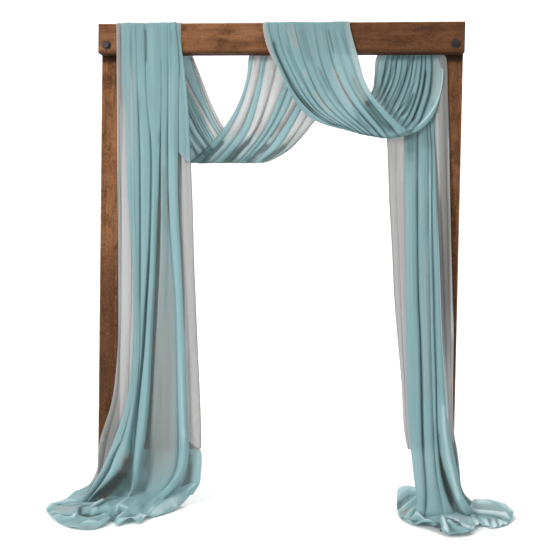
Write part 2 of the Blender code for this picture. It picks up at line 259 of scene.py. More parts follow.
def makeChiffon(name, look):
    # tone turns the cloth to its second colour above 0 and its other one below, which in gaps is painted
    # brown shade;
    # dense makes it less sheer, and ridge is painted light: highlights on folds and shade between them
    material, wire = startMaterial(name)
    along = coordinates(wire, "UV")
    turned = wire.node("ShaderNodeAttribute", {"attribute_name": "tone"}, output=2)
    dense = wire.node("ShaderNodeAttribute", {"attribute_name": "dense"}, output=2)
    ridge = wire.node("ShaderNodeAttribute", {"attribute_name": "ridge"}, output=2)
    cloudy = noise(wire, coordinates(wire, "UV", (9, 2.5, 1)), 1.0, 2.0)
    streaky = noise(wire, coordinates(wire, "UV", (85, 1.3, 1)), 1.0, 3.0)
    thread = noise(wire, coordinates(wire, "UV", (210, 2.4, 1)), 1.0, 2.0)
    slub = noise(wire, coordinates(wire, "UV", (420, 38, 1)), 1.0, 2.0)
    grain = noise(wire, coordinates(wire, "UV", (150, 110, 1)), 1.0, 2.0, 0.6)
    shade = cloudy.between(0.35, 0.75) * 0.22 + slub.between(0.4, 0.8) * 0.18
    shade = shade + streaky.between(0.50, 0.70) * 0.38
    colour = shade.mix(look["colour"], look["deep"])
    colour = (streaky.between(0.46, 0.28) * 0.30).mix(colour, look["light"])
    colour = (thread.between(0.56, 0.70) * 0.30).mix(colour, look["second"])
    colour = (thread.between(0.42, 0.30) * 0.30).mix(colour, look["deep"])
    colour = turned.mix(colour, look["second"])
    colour = (0 - turned).mix(colour, look["other"])
    colour = (grain.between(0.52, 0.70) * 0.22).mix(colour, look["second"])
    colour = (grain.between(0.47, 0.30) * 0.20).mix(colour, look["deep"])
    # painted shade: towards hollow where ridge is below 0, towards sunk where tone is also low; painted
    # highlight: towards light above 0, lit where tone is low, shine above 1
    colour = ((0 - ridge) * 0.85).mix(colour, look["hollow"])
    colour = (ridge * 0.55).mix(colour, look["light"])
    strange = (0 - turned).between(0.15, 0.80)
    colour = (strange * (0 - ridge) * 0.9).mix(colour, look["sunk"])
    colour = (strange * ridge * 0.6).mix(colour, look["lit"])
    colour = ((ridge - 1.0) * 0.9).mix(colour, look["shine"])
    warp = wire.node(
        "ShaderNodeTexWave",
        {"bands_direction": "X", "wave_profile": "SIN"},
        {"Vector": along, "Scale": 230.0},
    )
    weft = wire.node(
        "ShaderNodeTexWave",
        {"bands_direction": "Y", "wave_profile": "SIN"},
        {"Vector": along, "Scale": 230.0},
    )
    crepe = noise(wire, coordinates(wire, "UV", (260, 260, 1)), 1.0, 2.0)
    height = (warp + weft) * 0.35 + crepe
    bump = wire.node(
        "ShaderNodeBump", inputs={"Strength": 0.22, "Distance": 0.0006, "Height": height}
    )
    alpha = look["alpha"] + dense * 0.34
    cloth = wire.node(
        "ShaderNodeBsdfPrincipled",
        inputs={
            "Base Color": colour,
            "Roughness": 0.62,
            "Sheen Weight": 0.22,
            "Sheen Roughness": 0.45,
            "Specular IOR Level": 0.25,
            "Normal": bump,
        },
    )
    glow = wire.node(
        "ShaderNodeBsdfTranslucent", inputs={"Color": look["glow"], "Normal": bump}
    )
    body = wire.node("ShaderNodeMixShader", inputs={0: look["through"], 1: cloth, 2: glow})
    clear = wire.node("ShaderNodeBsdfTransparent")
    finishMaterial(wire, wire.node("ShaderNodeMixShader", inputs={0: alpha, 1: clear, 2: body}))
    return material


turquoise = makeChiffon("turquoise_chiffon_look", chiffon["turquoise"])
pale = makeChiffon("pale_chiffon_look", chiffon["pale"])
brightPale = makeChiffon("bright_chiffon_look", chiffon["bright"])


# Timber
timber = {
    "light": rgb(0.262, 0.118, 0.053),
    "mid": rgb(0.160, 0.068, 0.029),
    "dark": rgb(0.046, 0.0185, 0.0085),
    "worn": rgb(0.46, 0.21, 0.088),
    "knot": rgb(0.018, 0.009, 0.005),
}


def makeTimber(name, node, along, dim=0.0, dark=None, shadowAndGrime=None):
    # along is the axis of the grain. The tone darkens by dim all over, and by the last value
    # of dark between its two places along the grain. The band given for the posts is painted shadow under
    # the beam, with some real soiling
    lowCorner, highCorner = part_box(node)
    material, wire = startMaterial(name)
    place = coordinates(wire)
    squeeze = [1.0 if axis == along else 15.0 for axis in range(3)]
    rings = noise(wire, coordinates(wire, scale=squeeze), 1.9, 6.0, 0.62, 1.1)
    fibres = noise(wire, coordinates(wire, scale=[value * 6 for value in squeeze]), 3.0, 4.0, 0.7)
    patches = [1.0 if axis == along else 2.2 for axis in range(3)]
    blotch = noise(wire, coordinates(wire, scale=patches), 8.0, 4.0, 0.6)
    stain = noise(wire, place, 26.0, 3.0, 0.6)
    speck = noise(wire, place, 120.0, 2.0, 0.6)
    knotScale = [2.6 if axis == along else 7.0 for axis in range(3)]
    knots = wire.node(
        "ShaderNodeTexVoronoi",
        {"feature": "F1"},
        {"Vector": coordinates(wire, scale=knotScale), "Scale": 1.0},
    )
    sides = []
    for axis in range(3):
        value = wire.node("ShaderNodeSeparateXYZ", inputs={"Vector": place}, output=axis)
        middle = (lowCorner[axis] + highCorner[axis]) / 2
        half = (highCorner[axis] - lowCorner[axis]) / 2
        away = value - middle
        sides.append((value, half - away.maths("ABSOLUTE", away)))
    near = [sides[axis][1] for axis in range(3) if axis != along]
    arris = near[0] + near[1]
    ends = sides[along][1]
    colour = rings.between(0.32, 0.66).mix(timber["light"], timber["mid"])
    colour = (fibres.between(0.48, 0.78) * 0.6).mix(colour, timber["dark"])
    colour = (blotch.between(0.47, 0.66) * 0.62).mix(colour, timber["dark"])
    colour = (stain.between(0.55, 0.68) * 0.45).mix(colour, timber["dark"])
    knot = 1 - (knots + stain * 0.10).between(0.12, 0.24)
    colour = (knot * 0.38).mix(colour, timber["knot"])
    if dim:
        settings = {"data_type": "RGBA"}
        colour = wire.node("ShaderNodeMix", settings, {0: dim, 6: colour, 7: timber["dark"]}, 2)
    if dark:
        colour = ((sides[along][0] + stain * 0.12).between(*dark[:2]) * dark[2]).mix(colour, timber["dark"])
    worn = 1 - (arris + stain * 0.012).between(0.006, 0.013)
    colour = (worn * 0.50).mix(colour, timber["worn"])
    # painted shade along the bottom of the beam's face
    if along == 0:
        under = 1 - (sides[2][0] + stain * 0.016).between(lowCorner[2] + 0.008, lowCorner[2] + 0.030)
        colour = (under * 0.85).mix(colour, timber["dark"])
    colour = ((1 - (ends + stain * 0.01).between(0.006, 0.014)) * 0.5).mix(colour, timber["dark"])
    colour = (speck.between(0.58, 0.70) * 0.45).mix(colour, timber["dark"])
    colour = (speck.between(0.40, 0.30) * 0.20).mix(colour, timber["worn"])
    # painted shadow in a band on the posts just under the beam, with some real soiling, in the knot colour
    if shadowAndGrime:
        rise = sides[2][0] + stain * 0.012
        shadowAndDirt = rise.between(shadowAndGrime[0] - 0.012, shadowAndGrime[0] + 0.014) * (1 - rise.between(*shadowAndGrime[1:]))
        colour = (shadowAndDirt * 0.95).mix(colour, timber["knot"])
    saw = wire.node(
        "ShaderNodeTexWave",
        {"bands_direction": "XYZ"[along], "wave_profile": "SIN"},
        {"Vector": place, "Scale": 34.0, "Distortion": 3.5, "Detail": 2.0, "Detail Scale": 1.2},
    )
    height = fibres * 0.7 + rings * 0.5 + speck * 0.35 + saw * 0.18 - knot * 0.3 - worn * 0.25
    bump = wire.node(
        "ShaderNodeBump", inputs={"Strength": 0.6, "Distance": 0.003, "Height": height}
    )
    surface = wire.node(
        "ShaderNodeBsdfPrincipled",
        inputs={
            "Base Color": colour,
            "Roughness": 0.66 + fibres * 0.22,
            "Specular IOR Level": 0.10,
            "Normal": bump,
        },
    )
    finishMaterial(wire, surface)
    return material


# heights of the band of painted shadow, with some real soiling, on the posts under the beam
beamShadowBand = (2.262, 2.300, 2.335)
dressed = {
    "header_beam": makeTimber("beam_timber_look", "header_beam", 0, 0.16, (0.0, 0.42, 0.56)),
    "left_post": makeTimber(
        "left_post_timber_look", "left_post", 2, 0.0, (1.52, 1.12, 0.72), beamShadowBand
    ),
    "right_post": makeTimber(
        "right_post_timber_look", "right_post", 2, 0.40, (1.7, 1.2, 0.45), beamShadowBand
    ),
    "left_foot": makeTimber("left_foot_timber_look", "left_foot", 1, 0.25),
    "right_foot": makeTimber("right_foot_timber_look", "right_foot", 1, 0.25),
}


# Steel
def makeSteel(name, colour, wornColour, roughness, metal):
    material, wire = startMaterial(name)
    place = coordinates(wire)
    patch = noise(wire, place, 60.0, 4.0, 0.6)
    grit = noise(wire, place, 700.0, 2.0)
    worn = patch.between(0.5, 0.72)
    shade = (worn * 0.6).mix(colour, wornColour)
    bump = wire.node(
        "ShaderNodeBump", inputs={"Strength": 0.25, "Distance": 0.0006, "Height": grit + patch}
    )
    surface = wire.node(
        "ShaderNodeBsdfPrincipled",
        inputs={
            "Base Color": shade,
            "Roughness": roughness + patch * 0.25,
            "Metallic": metal,
            "Normal": bump,
        },
    )
    finishMaterial(wire, surface)
    return material


darkSteel = makeSteel("dark_steel_look", rgb(0.030, 0.029, 0.030), rgb(0.11, 0.075, 0.055), 0.42, 0.75)
washerSteel = makeSteel("washer_look", rgb(0.024, 0.018, 0.015), rgb(0.060, 0.032, 0.020), 0.60, 0.25)
zincSteel = makeSteel("zinc_steel_look", rgb(0.46, 0.47, 0.49), rgb(0.30, 0.31, 0.33), 0.32, 1.0)

for nodeName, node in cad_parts.items():
    look = dressed.get(nodeName)
    if look is None and ("angle" in nodeName or "hook" in nodeName):
        look = zincSteel
    if look is None and "washer" in nodeName:
        look = washerSteel
    if look is None and ("bolt" in nodeName or "nut" in nodeName):
        look = darkSteel
    if look is not None:
        for slotIndex in range(len(node.material_slots)):
            node.material_slots[slotIndex].material = look
print("materials made")


# Cloth engine
def smoothAlong(lines, counts):
    # a smooth curve through each line's points, with counts samples in each span
    points = np.asarray(lines, float)
    first = 2 * points[:, :1] - points[:, 1:2]
    last = 2 * points[:, -1:] - points[:, -2:-1]
    points = np.concatenate((first, points, last), axis=1)
    gaps = np.linalg.norm(np.diff(points, axis=1), axis=2)
    gaps = np.maximum(gaps, 1e-4) ** 0.5
    knots = np.concatenate((np.zeros((len(points), 1)), np.cumsum(gaps, axis=1)), axis=1)
    rows = []
    for span, count in enumerate(counts):
        p0, p1, p2, p3 = (points[:, span + i][:, None, :] for i in range(4))
        t0, t1, t2, t3 = (knots[:, span + i][:, None, None] for i in range(4))
        share = np.arange(count) / count
        t = t1 + (t2 - t1) * share[None, :, None]
        a1 = (t1 - t) / (t1 - t0) * p0 + (t - t0) / (t1 - t0) * p1
        a2 = (t2 - t) / (t2 - t1) * p1 + (t - t1) / (t2 - t1) * p2
        a3 = (t3 - t) / (t3 - t2) * p2 + (t - t2) / (t3 - t2) * p3
        b1 = (t2 - t) / (t2 - t0) * a1 + (t - t0) / (t2 - t0) * a2
        b2 = (t3 - t) / (t3 - t1) * a2 + (t - t1) / (t3 - t1) * a3
        rows.append((t2 - t) / (t2 - t1) * b1 + (t - t1) / (t2 - t1) * b2)
    rows.append(points[:, -2][:, None, :])
    return np.concatenate(rows, axis=1)


def spread(values, count):
    # a short list of values, spread evenly over count rows
    places = np.linspace(0, len(values) - 1, count)
    return np.interp(places, np.arange(len(values)), values)


def valueNoise(u, v, scaleU, scaleV, rng):
    # smooth random height, from -1 to 1, at places in metres
    a = u / scaleU
    b = v / scaleV
    a = a - a.min()
    b = b - b.min()
    grid = rng.uniform(-1, 1, (int(a.max()) + 4, int(b.max()) + 4))
    i, j = a.astype(int), b.astype(int)
    fa, fb = a - i, b - j

    def weights(f):
        return ((1 - f) ** 3 / 6, (3 * f**3 - 6 * f**2 + 4) / 6,
                (-3 * f**3 + 3 * f**2 + 3 * f + 1) / 6, f**3 / 6)

    total = 0
    for di, wi in enumerate(weights(fa)):
        for dj, wj in enumerate(weights(fb)):
            total = total + wi * wj * grid[i + di, j + dj]
    return total * 1.8


def unit(vectors):
    length = np.linalg.norm(vectors, axis=-1, keepdims=True)
    return vectors / np.maximum(length, 1e-9)


def gridNormals(grid):
    down = np.gradient(grid, axis=0)
    over = np.gradient(grid, axis=1)
    return unit(np.cross(down, over))


def metres(values):
    # from millimetres, in a number or in nested lists
    if isinstance(values, (tuple, list)):
        return [metres(value) for value in values]
    return values / 1000


def fitRows(values, stationCount, stationPlaces, rowCount):
    # one value for each row, from values at the stations or spread evenly down the cloth
    places = np.linspace(0, rowCount - 1, len(values))
    if len(values) == stationCount:
        places = stationPlaces
    return np.interp(np.arange(rowCount), places, values)


def pleat(lines, bulges, grooves=0.0, perFold=14, spacing=0.0085, lean=0.0, ripple=1.6,
          tucks=0, tuckWidth=0.022, groove=0.006, seed=1):
    # lines are creases, each with the same number of places. The cloth swells by bulges
    # between them, sinks by grooves along them, and has small tucks on each swelling and a
    # fine ripple all over. Those four are heights in millimetres
    bulges, grooves, tucks, ripple = metres((bulges, grooves, tucks, ripple))
    points = np.asarray(lines, float)
    stationCount = points.shape[1]
    spans = np.linalg.norm(np.diff(points, axis=1), axis=2).mean(axis=0)
    counts = [max(3, int(round(span / spacing))) for span in spans]
    creases = smoothAlong(points, counts)
    foldCount = len(creases) - 1
    rowCount = creases.shape[1]
    stationPlaces = np.concatenate(([0], np.cumsum(counts)))
    if not hasattr(bulges[0], "__len__"):
        bulges = [bulges] * foldCount
    if not hasattr(grooves, "__len__"):
        grooves = [(grooves, grooves)] * (foldCount - 1)
    sinks = [np.zeros(rowCount)]
    sinks += [fitRows(values, stationCount, stationPlaces, rowCount) for values in grooves]
    sinks.append(np.zeros(rowCount))
    rng = np.random.default_rng(seed)
    rows = np.arange(rowCount)
    length = rows * spacing
    columns = []
    for k in range(foldCount):
        left, right = creases[k], creases[k + 1]
        wide = creases[min(k + 2, foldCount)] - creases[max(k - 1, 0)]
        down = np.gradient((left + right) / 2, axis=0)
        out = unit(np.cross(down, wide))
        width = np.linalg.norm(right - left, axis=1)
        height = fitRows(bulges[k], stationCount, stationPlaces, rowCount)
        height = height * (1 + 0.22 * np.sin(length * rng.uniform(1.5, 3.5) + rng.uniform(0, 6)))
        easy = np.clip(np.abs(height) / 0.010, 0.06, 1.0)
        side = lean * rng.uniform(0.6, 1.2)
        tuckCount = max(1.5, width.mean() / tuckWidth)
        drift = [
            rng.uniform(0, 1) + 0.16 * np.sin(length * rng.uniform(1.0, 2.6) + rng.uniform(0, 6))
            for _ in range(2)
        ]
        fading = 0.65 + 0.35 * np.sin(length * rng.uniform(2.0, 4.5) + rng.uniform(0, 6))
        last = perFold + 1 if k == foldCount - 1 else perFold
        for q in range(last):
            even = q / perFold
            share = 0.45 * even + 0.55 * (0.5 - 0.5 * cos(pi * even))
            arch = max(sin(pi * share), 0.0)
            swell = height * arch**0.7
            first = np.abs(np.sin(pi * (share * tuckCount + drift[0]))) ** 0.8
            second = np.abs(np.sin(pi * (share * tuckCount * 1.9 + drift[1]))) ** 0.8
            small = (first - 0.6) * fading + (second - 0.6) * 0.45
            swell = swell + tucks * small * easy * arch**0.5
            swell = swell - sinks[k] * np.exp(-((share * width / groove) ** 2))
            swell = swell - sinks[k + 1] * np.exp(-(((1 - share) * width / groove) ** 2))
            across = share + side * 0.5 * arch
            base = left + (right - left) * across
            columns.append(base + out * swell[:, None])
    grid = np.stack(columns, axis=1)
    u = np.concatenate(([0], np.cumsum(np.linalg.norm(np.diff(grid, axis=1), axis=2).mean(axis=0))))
    v = np.concatenate(([0], np.cumsum(np.linalg.norm(np.diff(grid, axis=0), axis=2).mean(axis=1))))
    uu, vv = np.meshgrid(u, v)
    if ripple:
        fine = valueNoise(uu, vv, 0.012, 0.30, rng) * 0.6 + valueNoise(uu, vv, 0.006, 0.16, rng) * 0.3
        soft = valueNoise(uu, vv, 0.05, 0.45, rng)
        grid = grid + gridNormals(grid) * ((fine * ripple + soft * ripple * 1.4)[..., None])
    # painted shade in the hollows between the folds and painted highlight on their crests, from the relief
    ridge = relief(grid, max(3, perFold // 3)) * 0.6
    return {"grid": grid, "u": uu, "v": vv, "stations": stationPlaces, "ridge": ridge}


def overStations(strip, values):
    # values given at the stations, as one for each row of the strip
    rows = np.arange(strip["grid"].shape[0])
    if len(values) != len(strip["stations"]):
        return spread(values, len(rows))
    return np.interp(rows, strip["stations"], values)


def shade(strip, values, kind="ridge"):
    # adds values that are given at the stations; with ridge these are painted shade below 0 and painted
    # highlight above
    strip[kind] = strip.get(kind, 0.0) + overStations(strip, values)[:, None]


def buildCloth(name, strips, material):
    # strips are grids of points with their tone, dense and ridge values, made one object
    verts, faces, uvs, tone, dense, ridge = [], [], [], [], [], []
    start = 0
    for strip in strips:
        grid = settle(strip["grid"])
        rows, cols = grid.shape[:2]
        verts.append(grid.reshape(-1, 3))
        index = np.arange(rows * cols).reshape(rows, cols) + start
        quads = np.stack((index[:-1, :-1], index[1:, :-1], index[1:, 1:], index[:-1, 1:]), axis=-1)
        faces.append(quads.reshape(-1, 4))
        uvs.append(np.stack((strip["u"], strip["v"]), axis=-1).reshape(-1, 2))
        tone.append(np.broadcast_to(strip.get("tone", 0.0), (rows, cols)).reshape(-1))
        dense.append(np.broadcast_to(strip.get("dense", 0.0), (rows, cols)).reshape(-1))
        ridge.append(np.broadcast_to(strip.get("ridge", 0.0), (rows, cols)).reshape(-1))
        start += rows * cols
    verts = np.concatenate(verts)
    faces = np.concatenate(faces)
    uvs = np.concatenate(uvs)
    mesh = bpy.data.meshes.new(name)
    mesh.vertices.add(len(verts))
    mesh.vertices.foreach_set("co", verts.astype(np.float32).ravel())
    mesh.loops.add(faces.size)
    mesh.loops.foreach_set("vertex_index", faces.astype(np.int32).ravel())
    mesh.polygons.add(len(faces))
    mesh.polygons.foreach_set("loop_start", np.arange(0, faces.size, 4, dtype=np.int32))
    mesh.update(calc_edges=True)
    layer = mesh.uv_layers.new(name="cloth")
    layer.uv.foreach_set("vector", uvs[faces.ravel()].astype(np.float32).ravel())
    for label, values in (("tone", tone), ("dense", dense), ("ridge", ridge)):
        attribute = mesh.attributes.new(label, "FLOAT", "POINT")
        attribute.data.foreach_set("value", np.concatenate(values).astype(np.float32))
    mesh.shade_smooth()
    mesh.materials.append(material)
    mesh.validate()
    cloth = bpy.data.objects.new(name, mesh)
    bpy.context.scene.collection.objects.link(cloth)
    areas = np.zeros(len(mesh.polygons))
    mesh.polygons.foreach_get("area", areas)
    print("%s: %d triangles, %.2f square metres" % (name, 2 * len(faces), areas.sum()))
    return cloth


footBoxes = [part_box("left_foot"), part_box("right_foot")]


def smoothstep(values):
    values = np.clip(values, 0, 1)
    return values * values * (3 - 2 * values)


def settle(grid):
    # keeps cloth above the floor, and over the feet where it crosses them
    x, y, z = grid[..., 0], grid[..., 1], grid[..., 2]
    floor = np.full(x.shape, 0.0015)
    margin, fade = 0.024, 0.020
    for lowCorner, highCorner in footBoxes:
        inX = smoothstep((np.minimum(x - lowCorner.x, highCorner.x - x) + margin) / fade)
        inY = smoothstep((np.minimum(y - lowCorner.y, highCorner.y - y) + margin) / fade)
        floor = np.maximum(floor, (highCorner.z + 0.003) * inX * inY)
    gap = z - floor
    soft = 0.004
    lifted = np.where(gap < soft * 2, soft * np.exp(np.minimum(gap, soft * 2) / soft - 2) * 2, gap)
    grid = grid.copy()
    grid[..., 2] = floor + np.maximum(lifted, 0.0)
    return grid


def sideEdges(strip, width, left=True, right=True, foot=False):
    # the selvage and the hem, thicker than the rest of the cloth
    u, v = strip["u"], strip["v"]
    mask = np.zeros(u.shape)
    for wanted, distance in ((left, u - u.min()), (right, u.max() - u), (foot, v.max() - v)):
        if wanted:
            mask = np.maximum(mask, 1 - smoothstep((distance - width) / (width * 0.3)))
    strip["dense"] = np.maximum(strip.get("dense", 0.0), mask)


overhang = 0.08


def overBeam(points, shift=0.0, rise=0.0025):
    # the run of a fold line over the beam, from its back to its top front edge
    drop = 0.10
    x = points[0][0]
    top = beamHigh.z
    back = beamHigh.y
    return [
        np.array((x + shift, back + 0.008, top - drop)),
        np.array((x + shift * 0.5, back + 0.007, top - 0.03)),
        np.array((x + shift * 0.2, back + 0.003, top + rise * 0.6)),
        np.array((x, back * 0.5, top + rise)),
        np.array((x, -0.0035, top + rise * 0.3)),
    ]


def hang(rows, across, depths):
    # a fold line down the view, one place for each row
    depths = spread(depths, len(rows)) if len(depths) != len(rows) else depths
    return [at(a, row, depth) for a, row, depth in zip(across, rows, depths)]


def hangOver(rows, folds, depths, floor, rise=0.0025):
    # fold lines over the beam and down the view, each with its own places near the floor
    lines = []
    for across, places in zip(folds, floor):
        line = hang(rows, across, depths) + [at(*place) for place in places]
        lines.append(overBeam(line, overhang, rise) + line)
    return lines


def hangPlaces(places, depths):
    # places in the view, each at its own depth
    return [at(*place, depth) for place, depth in zip(places, depths)]


def inView(grid):
    # where each place of a grid falls in the 560-wide view
    away = grid - viewPlace
    ahead = away @ aheadAxis
    middle = view["width"] / 2
    across = middle + focal * (away @ rightAxis) / ahead
    down = middle - focal * (away @ upAxis) / ahead
    return np.stack((across, down), axis=-1)


def toRun(places, run):
    # distance of places to a run of points, and how far along the run each one lies
    nearest = np.full(places.shape[:-1], 1e9)
    station = np.zeros(places.shape[:-1])
    for index, (start, stop) in enumerate(zip(run[:-1], run[1:])):
        leg = stop - start
        share = np.clip(((places - start) @ leg) / max(leg @ leg, 1e-12), 0, 1)
        away = np.linalg.norm(places - start - share[..., None] * leg, axis=-1)
        station = np.where(away < nearest, index + share, station)
        nearest = np.minimum(nearest, away)
    return nearest, station


def streak(strips, places, width, amount, kind="ridge"):
    # a painted highlight or painted shade line over the cloth, through places in the view; with tone a line
    # of the second or other colour
    run = [np.array(place, float) for place in places]
    for strip in strips if isinstance(strips, (list, tuple)) else [strips]:
        nearest, station = toRun(inView(strip["grid"]), run)
        ends = np.clip(np.minimum(station, len(run) - 1 - station) * 3 + 0.25, 0, 1)
        strip[kind] = strip.get(kind, 0.0) + amount * ends * np.exp(-((nearest / width) ** 2))


def relief(grid, reach, depth=0.0035):
    # from -1 in the hollows to 1 on the ridges, on the side that is seen, for painted shade in the hollows
    # and painted highlights on the ridges
    padded = np.pad(grid, ((0, 0), (reach + 1, reach), (0, 0)), mode="edge")
    total = np.cumsum(padded, axis=1)
    mean = (total[:, 2 * reach + 1:] - total[:, :-2 * reach - 1]) / (2 * reach + 1)
    normals = gridNormals(grid)
    facing = (0.8 * normals[..., 2] - normals[..., 1]).mean(axis=1)
    side = np.where(facing < 0, -1.0, 1.0)[:, None]
    height = ((grid - mean) * normals).sum(axis=-1) * side
    return np.clip(height / depth, -1, 1)


def puddle(edge, root, ridges, hollows, seed, rows=44, spacing=0.007, lift=0.006, crumple=0.004):
    # cloth lying on the floor, from its root under the fall to its edge. Each ridge is
    # (places with a height, half width, sharpness), each hollow (places, half width, depth)
    rng = np.random.default_rng(seed)
    outer = np.array([low(*place) for place in edge])
    inner = np.array([low(*place) for place in root])
    counts = [max(3, int(round(np.linalg.norm(b - a) / spacing))) for a, b in zip(outer[:-1], outer[1:])]
    outer, inner = smoothAlong([outer, inner], counts)
    share = np.linspace(0, 1, rows)[None, :, None]
    grid = inner[:, None, :] * (1 - share) + outer[:, None, :] * share
    flat = grid[..., :2]
    t = share[..., 0]
    z = inner[:, None, 2] * (1 - t**1.4) + outer[:, None, 2] * t
    for places, half, sharp in ridges:
        run = np.array([low(*place) for place in places])
        away, station = toRun(flat, run[:, :2])
        crest = np.interp(station, np.arange(len(run)), run[:, 2])
        wave = crest * np.clip(1 - away / (half * 2), 0, 1) ** sharp
        z = (np.maximum(z, 0) ** 4 + wave**4) ** 0.25
    for places, half, depth in hollows:
        run = np.array([low(*place) for place in places])
        away, _ = toRun(flat, run[:, :2])
        z = z * (1 - depth * np.exp(-((away / half) ** 2)))
    x, y = flat[..., 0], flat[..., 1]
    big = valueNoise(x + 0.3 * y, y - 0.2 * x, 0.055, 0.075, rng)
    small = valueNoise(x, y, 0.022, 0.030, rng)
    rise = smoothstep(z / 0.018)
    z = z + crumple * rise * ((0.5 - np.abs(big)) + 0.45 * (0.5 - np.abs(small)))
    along = np.cumsum(np.concatenate(([0], np.linalg.norm(np.diff(outer, axis=0), axis=1))))
    wavy = valueNoise(along[:, None], np.zeros((len(along), 1)), 0.035, 1.0, rng)
    z = z + lift * np.maximum(wavy, 0) * smoothstep((t - 0.75) / 0.25) + 0.002
    grid = np.concatenate((flat, z[..., None]), axis=-1)
    if gridNormals(grid)[..., 2].mean() < 0:
        grid = grid[::-1]
        along = along[-1] - along[::-1]
    v = np.broadcast_to(np.linalg.norm(outer - inner, axis=1)[:, None] * t, z.shape)
    # painted shade in the hollows and painted highlight on the crests of the puddle, from its relief both
    # ways
    ridge = relief(grid, 5, 0.005) + relief(grid.swapaxes(0, 1), 5, 0.005).swapaxes(0, 1)
    return {
        "grid": grid, "u": np.broadcast_to(along[:, None], z.shape), "v": v, "ridge": np.clip(ridge, -1, 1),
    }


# Left fall
fallRows = (28, 60, 100, 150, 200, 260, 300, 350, 400, 440)
leftFall = {
    "folds": (
        (121.5, 122, 123, 126, 128, 132, 133, 132, 127, 114),
        (131, 131, 132, 133, 133.5, 135.5, 136, 135.5, 132, 122),
        (136, 137, 138, 140, 140.2, 140, 139.8, 140, 136, 130.5),
        (144.4, 145.5, 147, 151.3, 151, 149, 146.5, 143.5, 138.5, 134.5),
        (161, 161.5, 161, 159.7, 158.5, 156.4, 154.8, 152.2, 149.6, 145.4),
    ),
    "depths": (-0.010, -0.014, -0.017, -0.020, -0.020, -0.020, -0.022, -0.026, -0.036, -0.055),
    "floor": (
        ((106, 460, -0.075), (99, 474, -0.10), (92, 486, -0.12), (86, 496, -0.135), (80, 503, -0.14)),
        ((115, 454, -0.07), (109, 469, -0.095), (102, 481, -0.115), (95, 491, -0.13), (88, 500, -0.14)),
        ((127.5, 457, -0.07), (122, 469, -0.09), (112, 480, -0.11), (101, 490, -0.13), (91, 499, -0.15)),
        ((133, 458, -0.07), (131, 472, -0.085), (130, 483, -0.10), (129, 491, -0.115), (125, 499, -0.13)),
        ((142, 458, -0.065), (140, 472, -0.08), (138.5, 482, -0.09), (135, 491, -0.105), (131, 499, -0.12)),
    ),
    "ends": ((73, 508, 0.006), (82, 508, 0.006), (85, 508, 0.006), (121, 508, 0.006), (128, 508, 0.006)),
    "bulge": (
        (1, 1, 1, 1, 1, 2, 2, 2, 2, 1, 1, 1, 2, 4, 10, 20, 26, 26, 22, 14, 4),
        (1, 1, 1, 1, 1, 2, 2, 3, 3, 3, 3, 3, 4, 8, 16, 24, 26, 26, 22, 14, 4),
        (1, 1, 1, 1, 1, 2, 3, 4, 6, 6, 5, 3, 1, -4, -12, -30, -45, -50, -45, -30, -4),
        (1, 1, 1, 1, 1, 2, 3, 4, 7, 10, 12, 14, 17, 22, 26, 28, 26, 22, 18, 12, 3),
    ),
    "groove": (
        (0, 0, 0, 0, 0, 0, 0, -1, -3, -5, -6, -6, -6, -4, 2, 10, 14, 16, 12, 8, 0),
        (0, 0, 0, 0, 0, 1, 1, 2, 5, 6, 6, 4, 2, 2, 6, 12, 14, 14, 10, 6, 0),
        (0, 0, 0, 0, 0, 2, 2, 1, 5, 8, 11, 14, 16, 18, 18, 16, 12, 10, 6, 4, 0),
    ),
    # painted highlight lines; those marked tone are lines of the paler second colour
    "light": (
        (((131.5, 55), (131.5, 120), (131, 165)), 1.4, 0.75, "tone"),
        (((124, 100), (125, 150), (127, 210)), 1.6, 0.6, "tone"),
        (((147, 200), (144, 260), (143.5, 310)), 1.6, 0.30),
        (((120, 436), (117, 452), (113, 466), (107, 478)), 2.0, 0.5),
        (((149, 330), (145, 400), (140, 440), (137, 460), (135, 480)), 2.6, 0.40),
        (((112, 446), (105, 463), (98, 478)), 1.6, 0.6, "tone"),
        (((150, 30), (151, 60), (153, 90)), 2.5, 0.20),
        (((153, 180), (152, 260), (152, 310)), 2.0, 0.25),
    ),
    # painted shade lines in the creases and in the dark hollows by the floor; those marked tone paint brown
    # shade
    "dark": (
        (((130.5, 30), (131, 55), (132, 80)), 1.0, -0.25),
        (((145.5, 28), (146, 42), (146, 64)), 1.1, -0.95),
        (((162, 56), (162, 80), (161.5, 98)), 1.1, -0.9),
        (((150, 130), (150.5, 165), (150, 210)), 1.0, -0.8),
        (((139, 90), (138.7, 140), (139.5, 190), (139.5, 250), (140, 310)), 1.8, -0.55),
        (((159, 128), (158.5, 146)), 1.2, -0.6),
        (((148.5, 250), (146.7, 300), (143, 350), (137.5, 400), (132.5, 440), (131, 470)), 2.2, -0.45),
        (((118, 475), (110, 484), (101, 492), (90, 500)), 2.5, -0.8),
        (((145, 440), (144, 456), (141, 470)), 1.4, -0.8),
        (((157.5, 200), (156.5, 300), (153, 350), (151, 400), (146, 440)), 1.0, -0.9, "tone"),
        (((127, 452), (124, 466), (119, 478), (110, 489), (99, 498)), 4.5, -1.0, "tone"),
        (((128, 458), (125, 470), (118, 481), (109, 490), (98, 498)), 4.2, -1.4),
        (((131, 462), (129, 476), (124, 488), (116, 496)), 4.0, -1.0),
        (((125, 472), (119, 481), (110, 489), (100, 496)), 2.0, -1.0),
        (((134, 470), (132, 482), (129, 492)), 2.4, -1.0),
    ),
}


def leftFolds():
    lines = []
    for across, floor, end in zip(leftFall["folds"], leftFall["floor"], leftFall["ends"]):
        line = hang(fallRows, across, leftFall["depths"])
        line += [at(*place) for place in floor] + [low(*end)]
        lines.append(overBeam(line, overhang) + line)
    strip = pleat(
        lines, leftFall["bulge"], leftFall["groove"], perFold=22, tucks=2.4, tuckWidth=0.024, seed=11,
    )
    # painted shade over the top of the fall, from over the beam down to its upper part
    shade(strip, (-0.22,) * 7 + (-0.14, -0.05) + (0,) * 12)
    for line in leftFall["light"] + leftFall["dark"]:
        streak(strip, *line)
    return strip


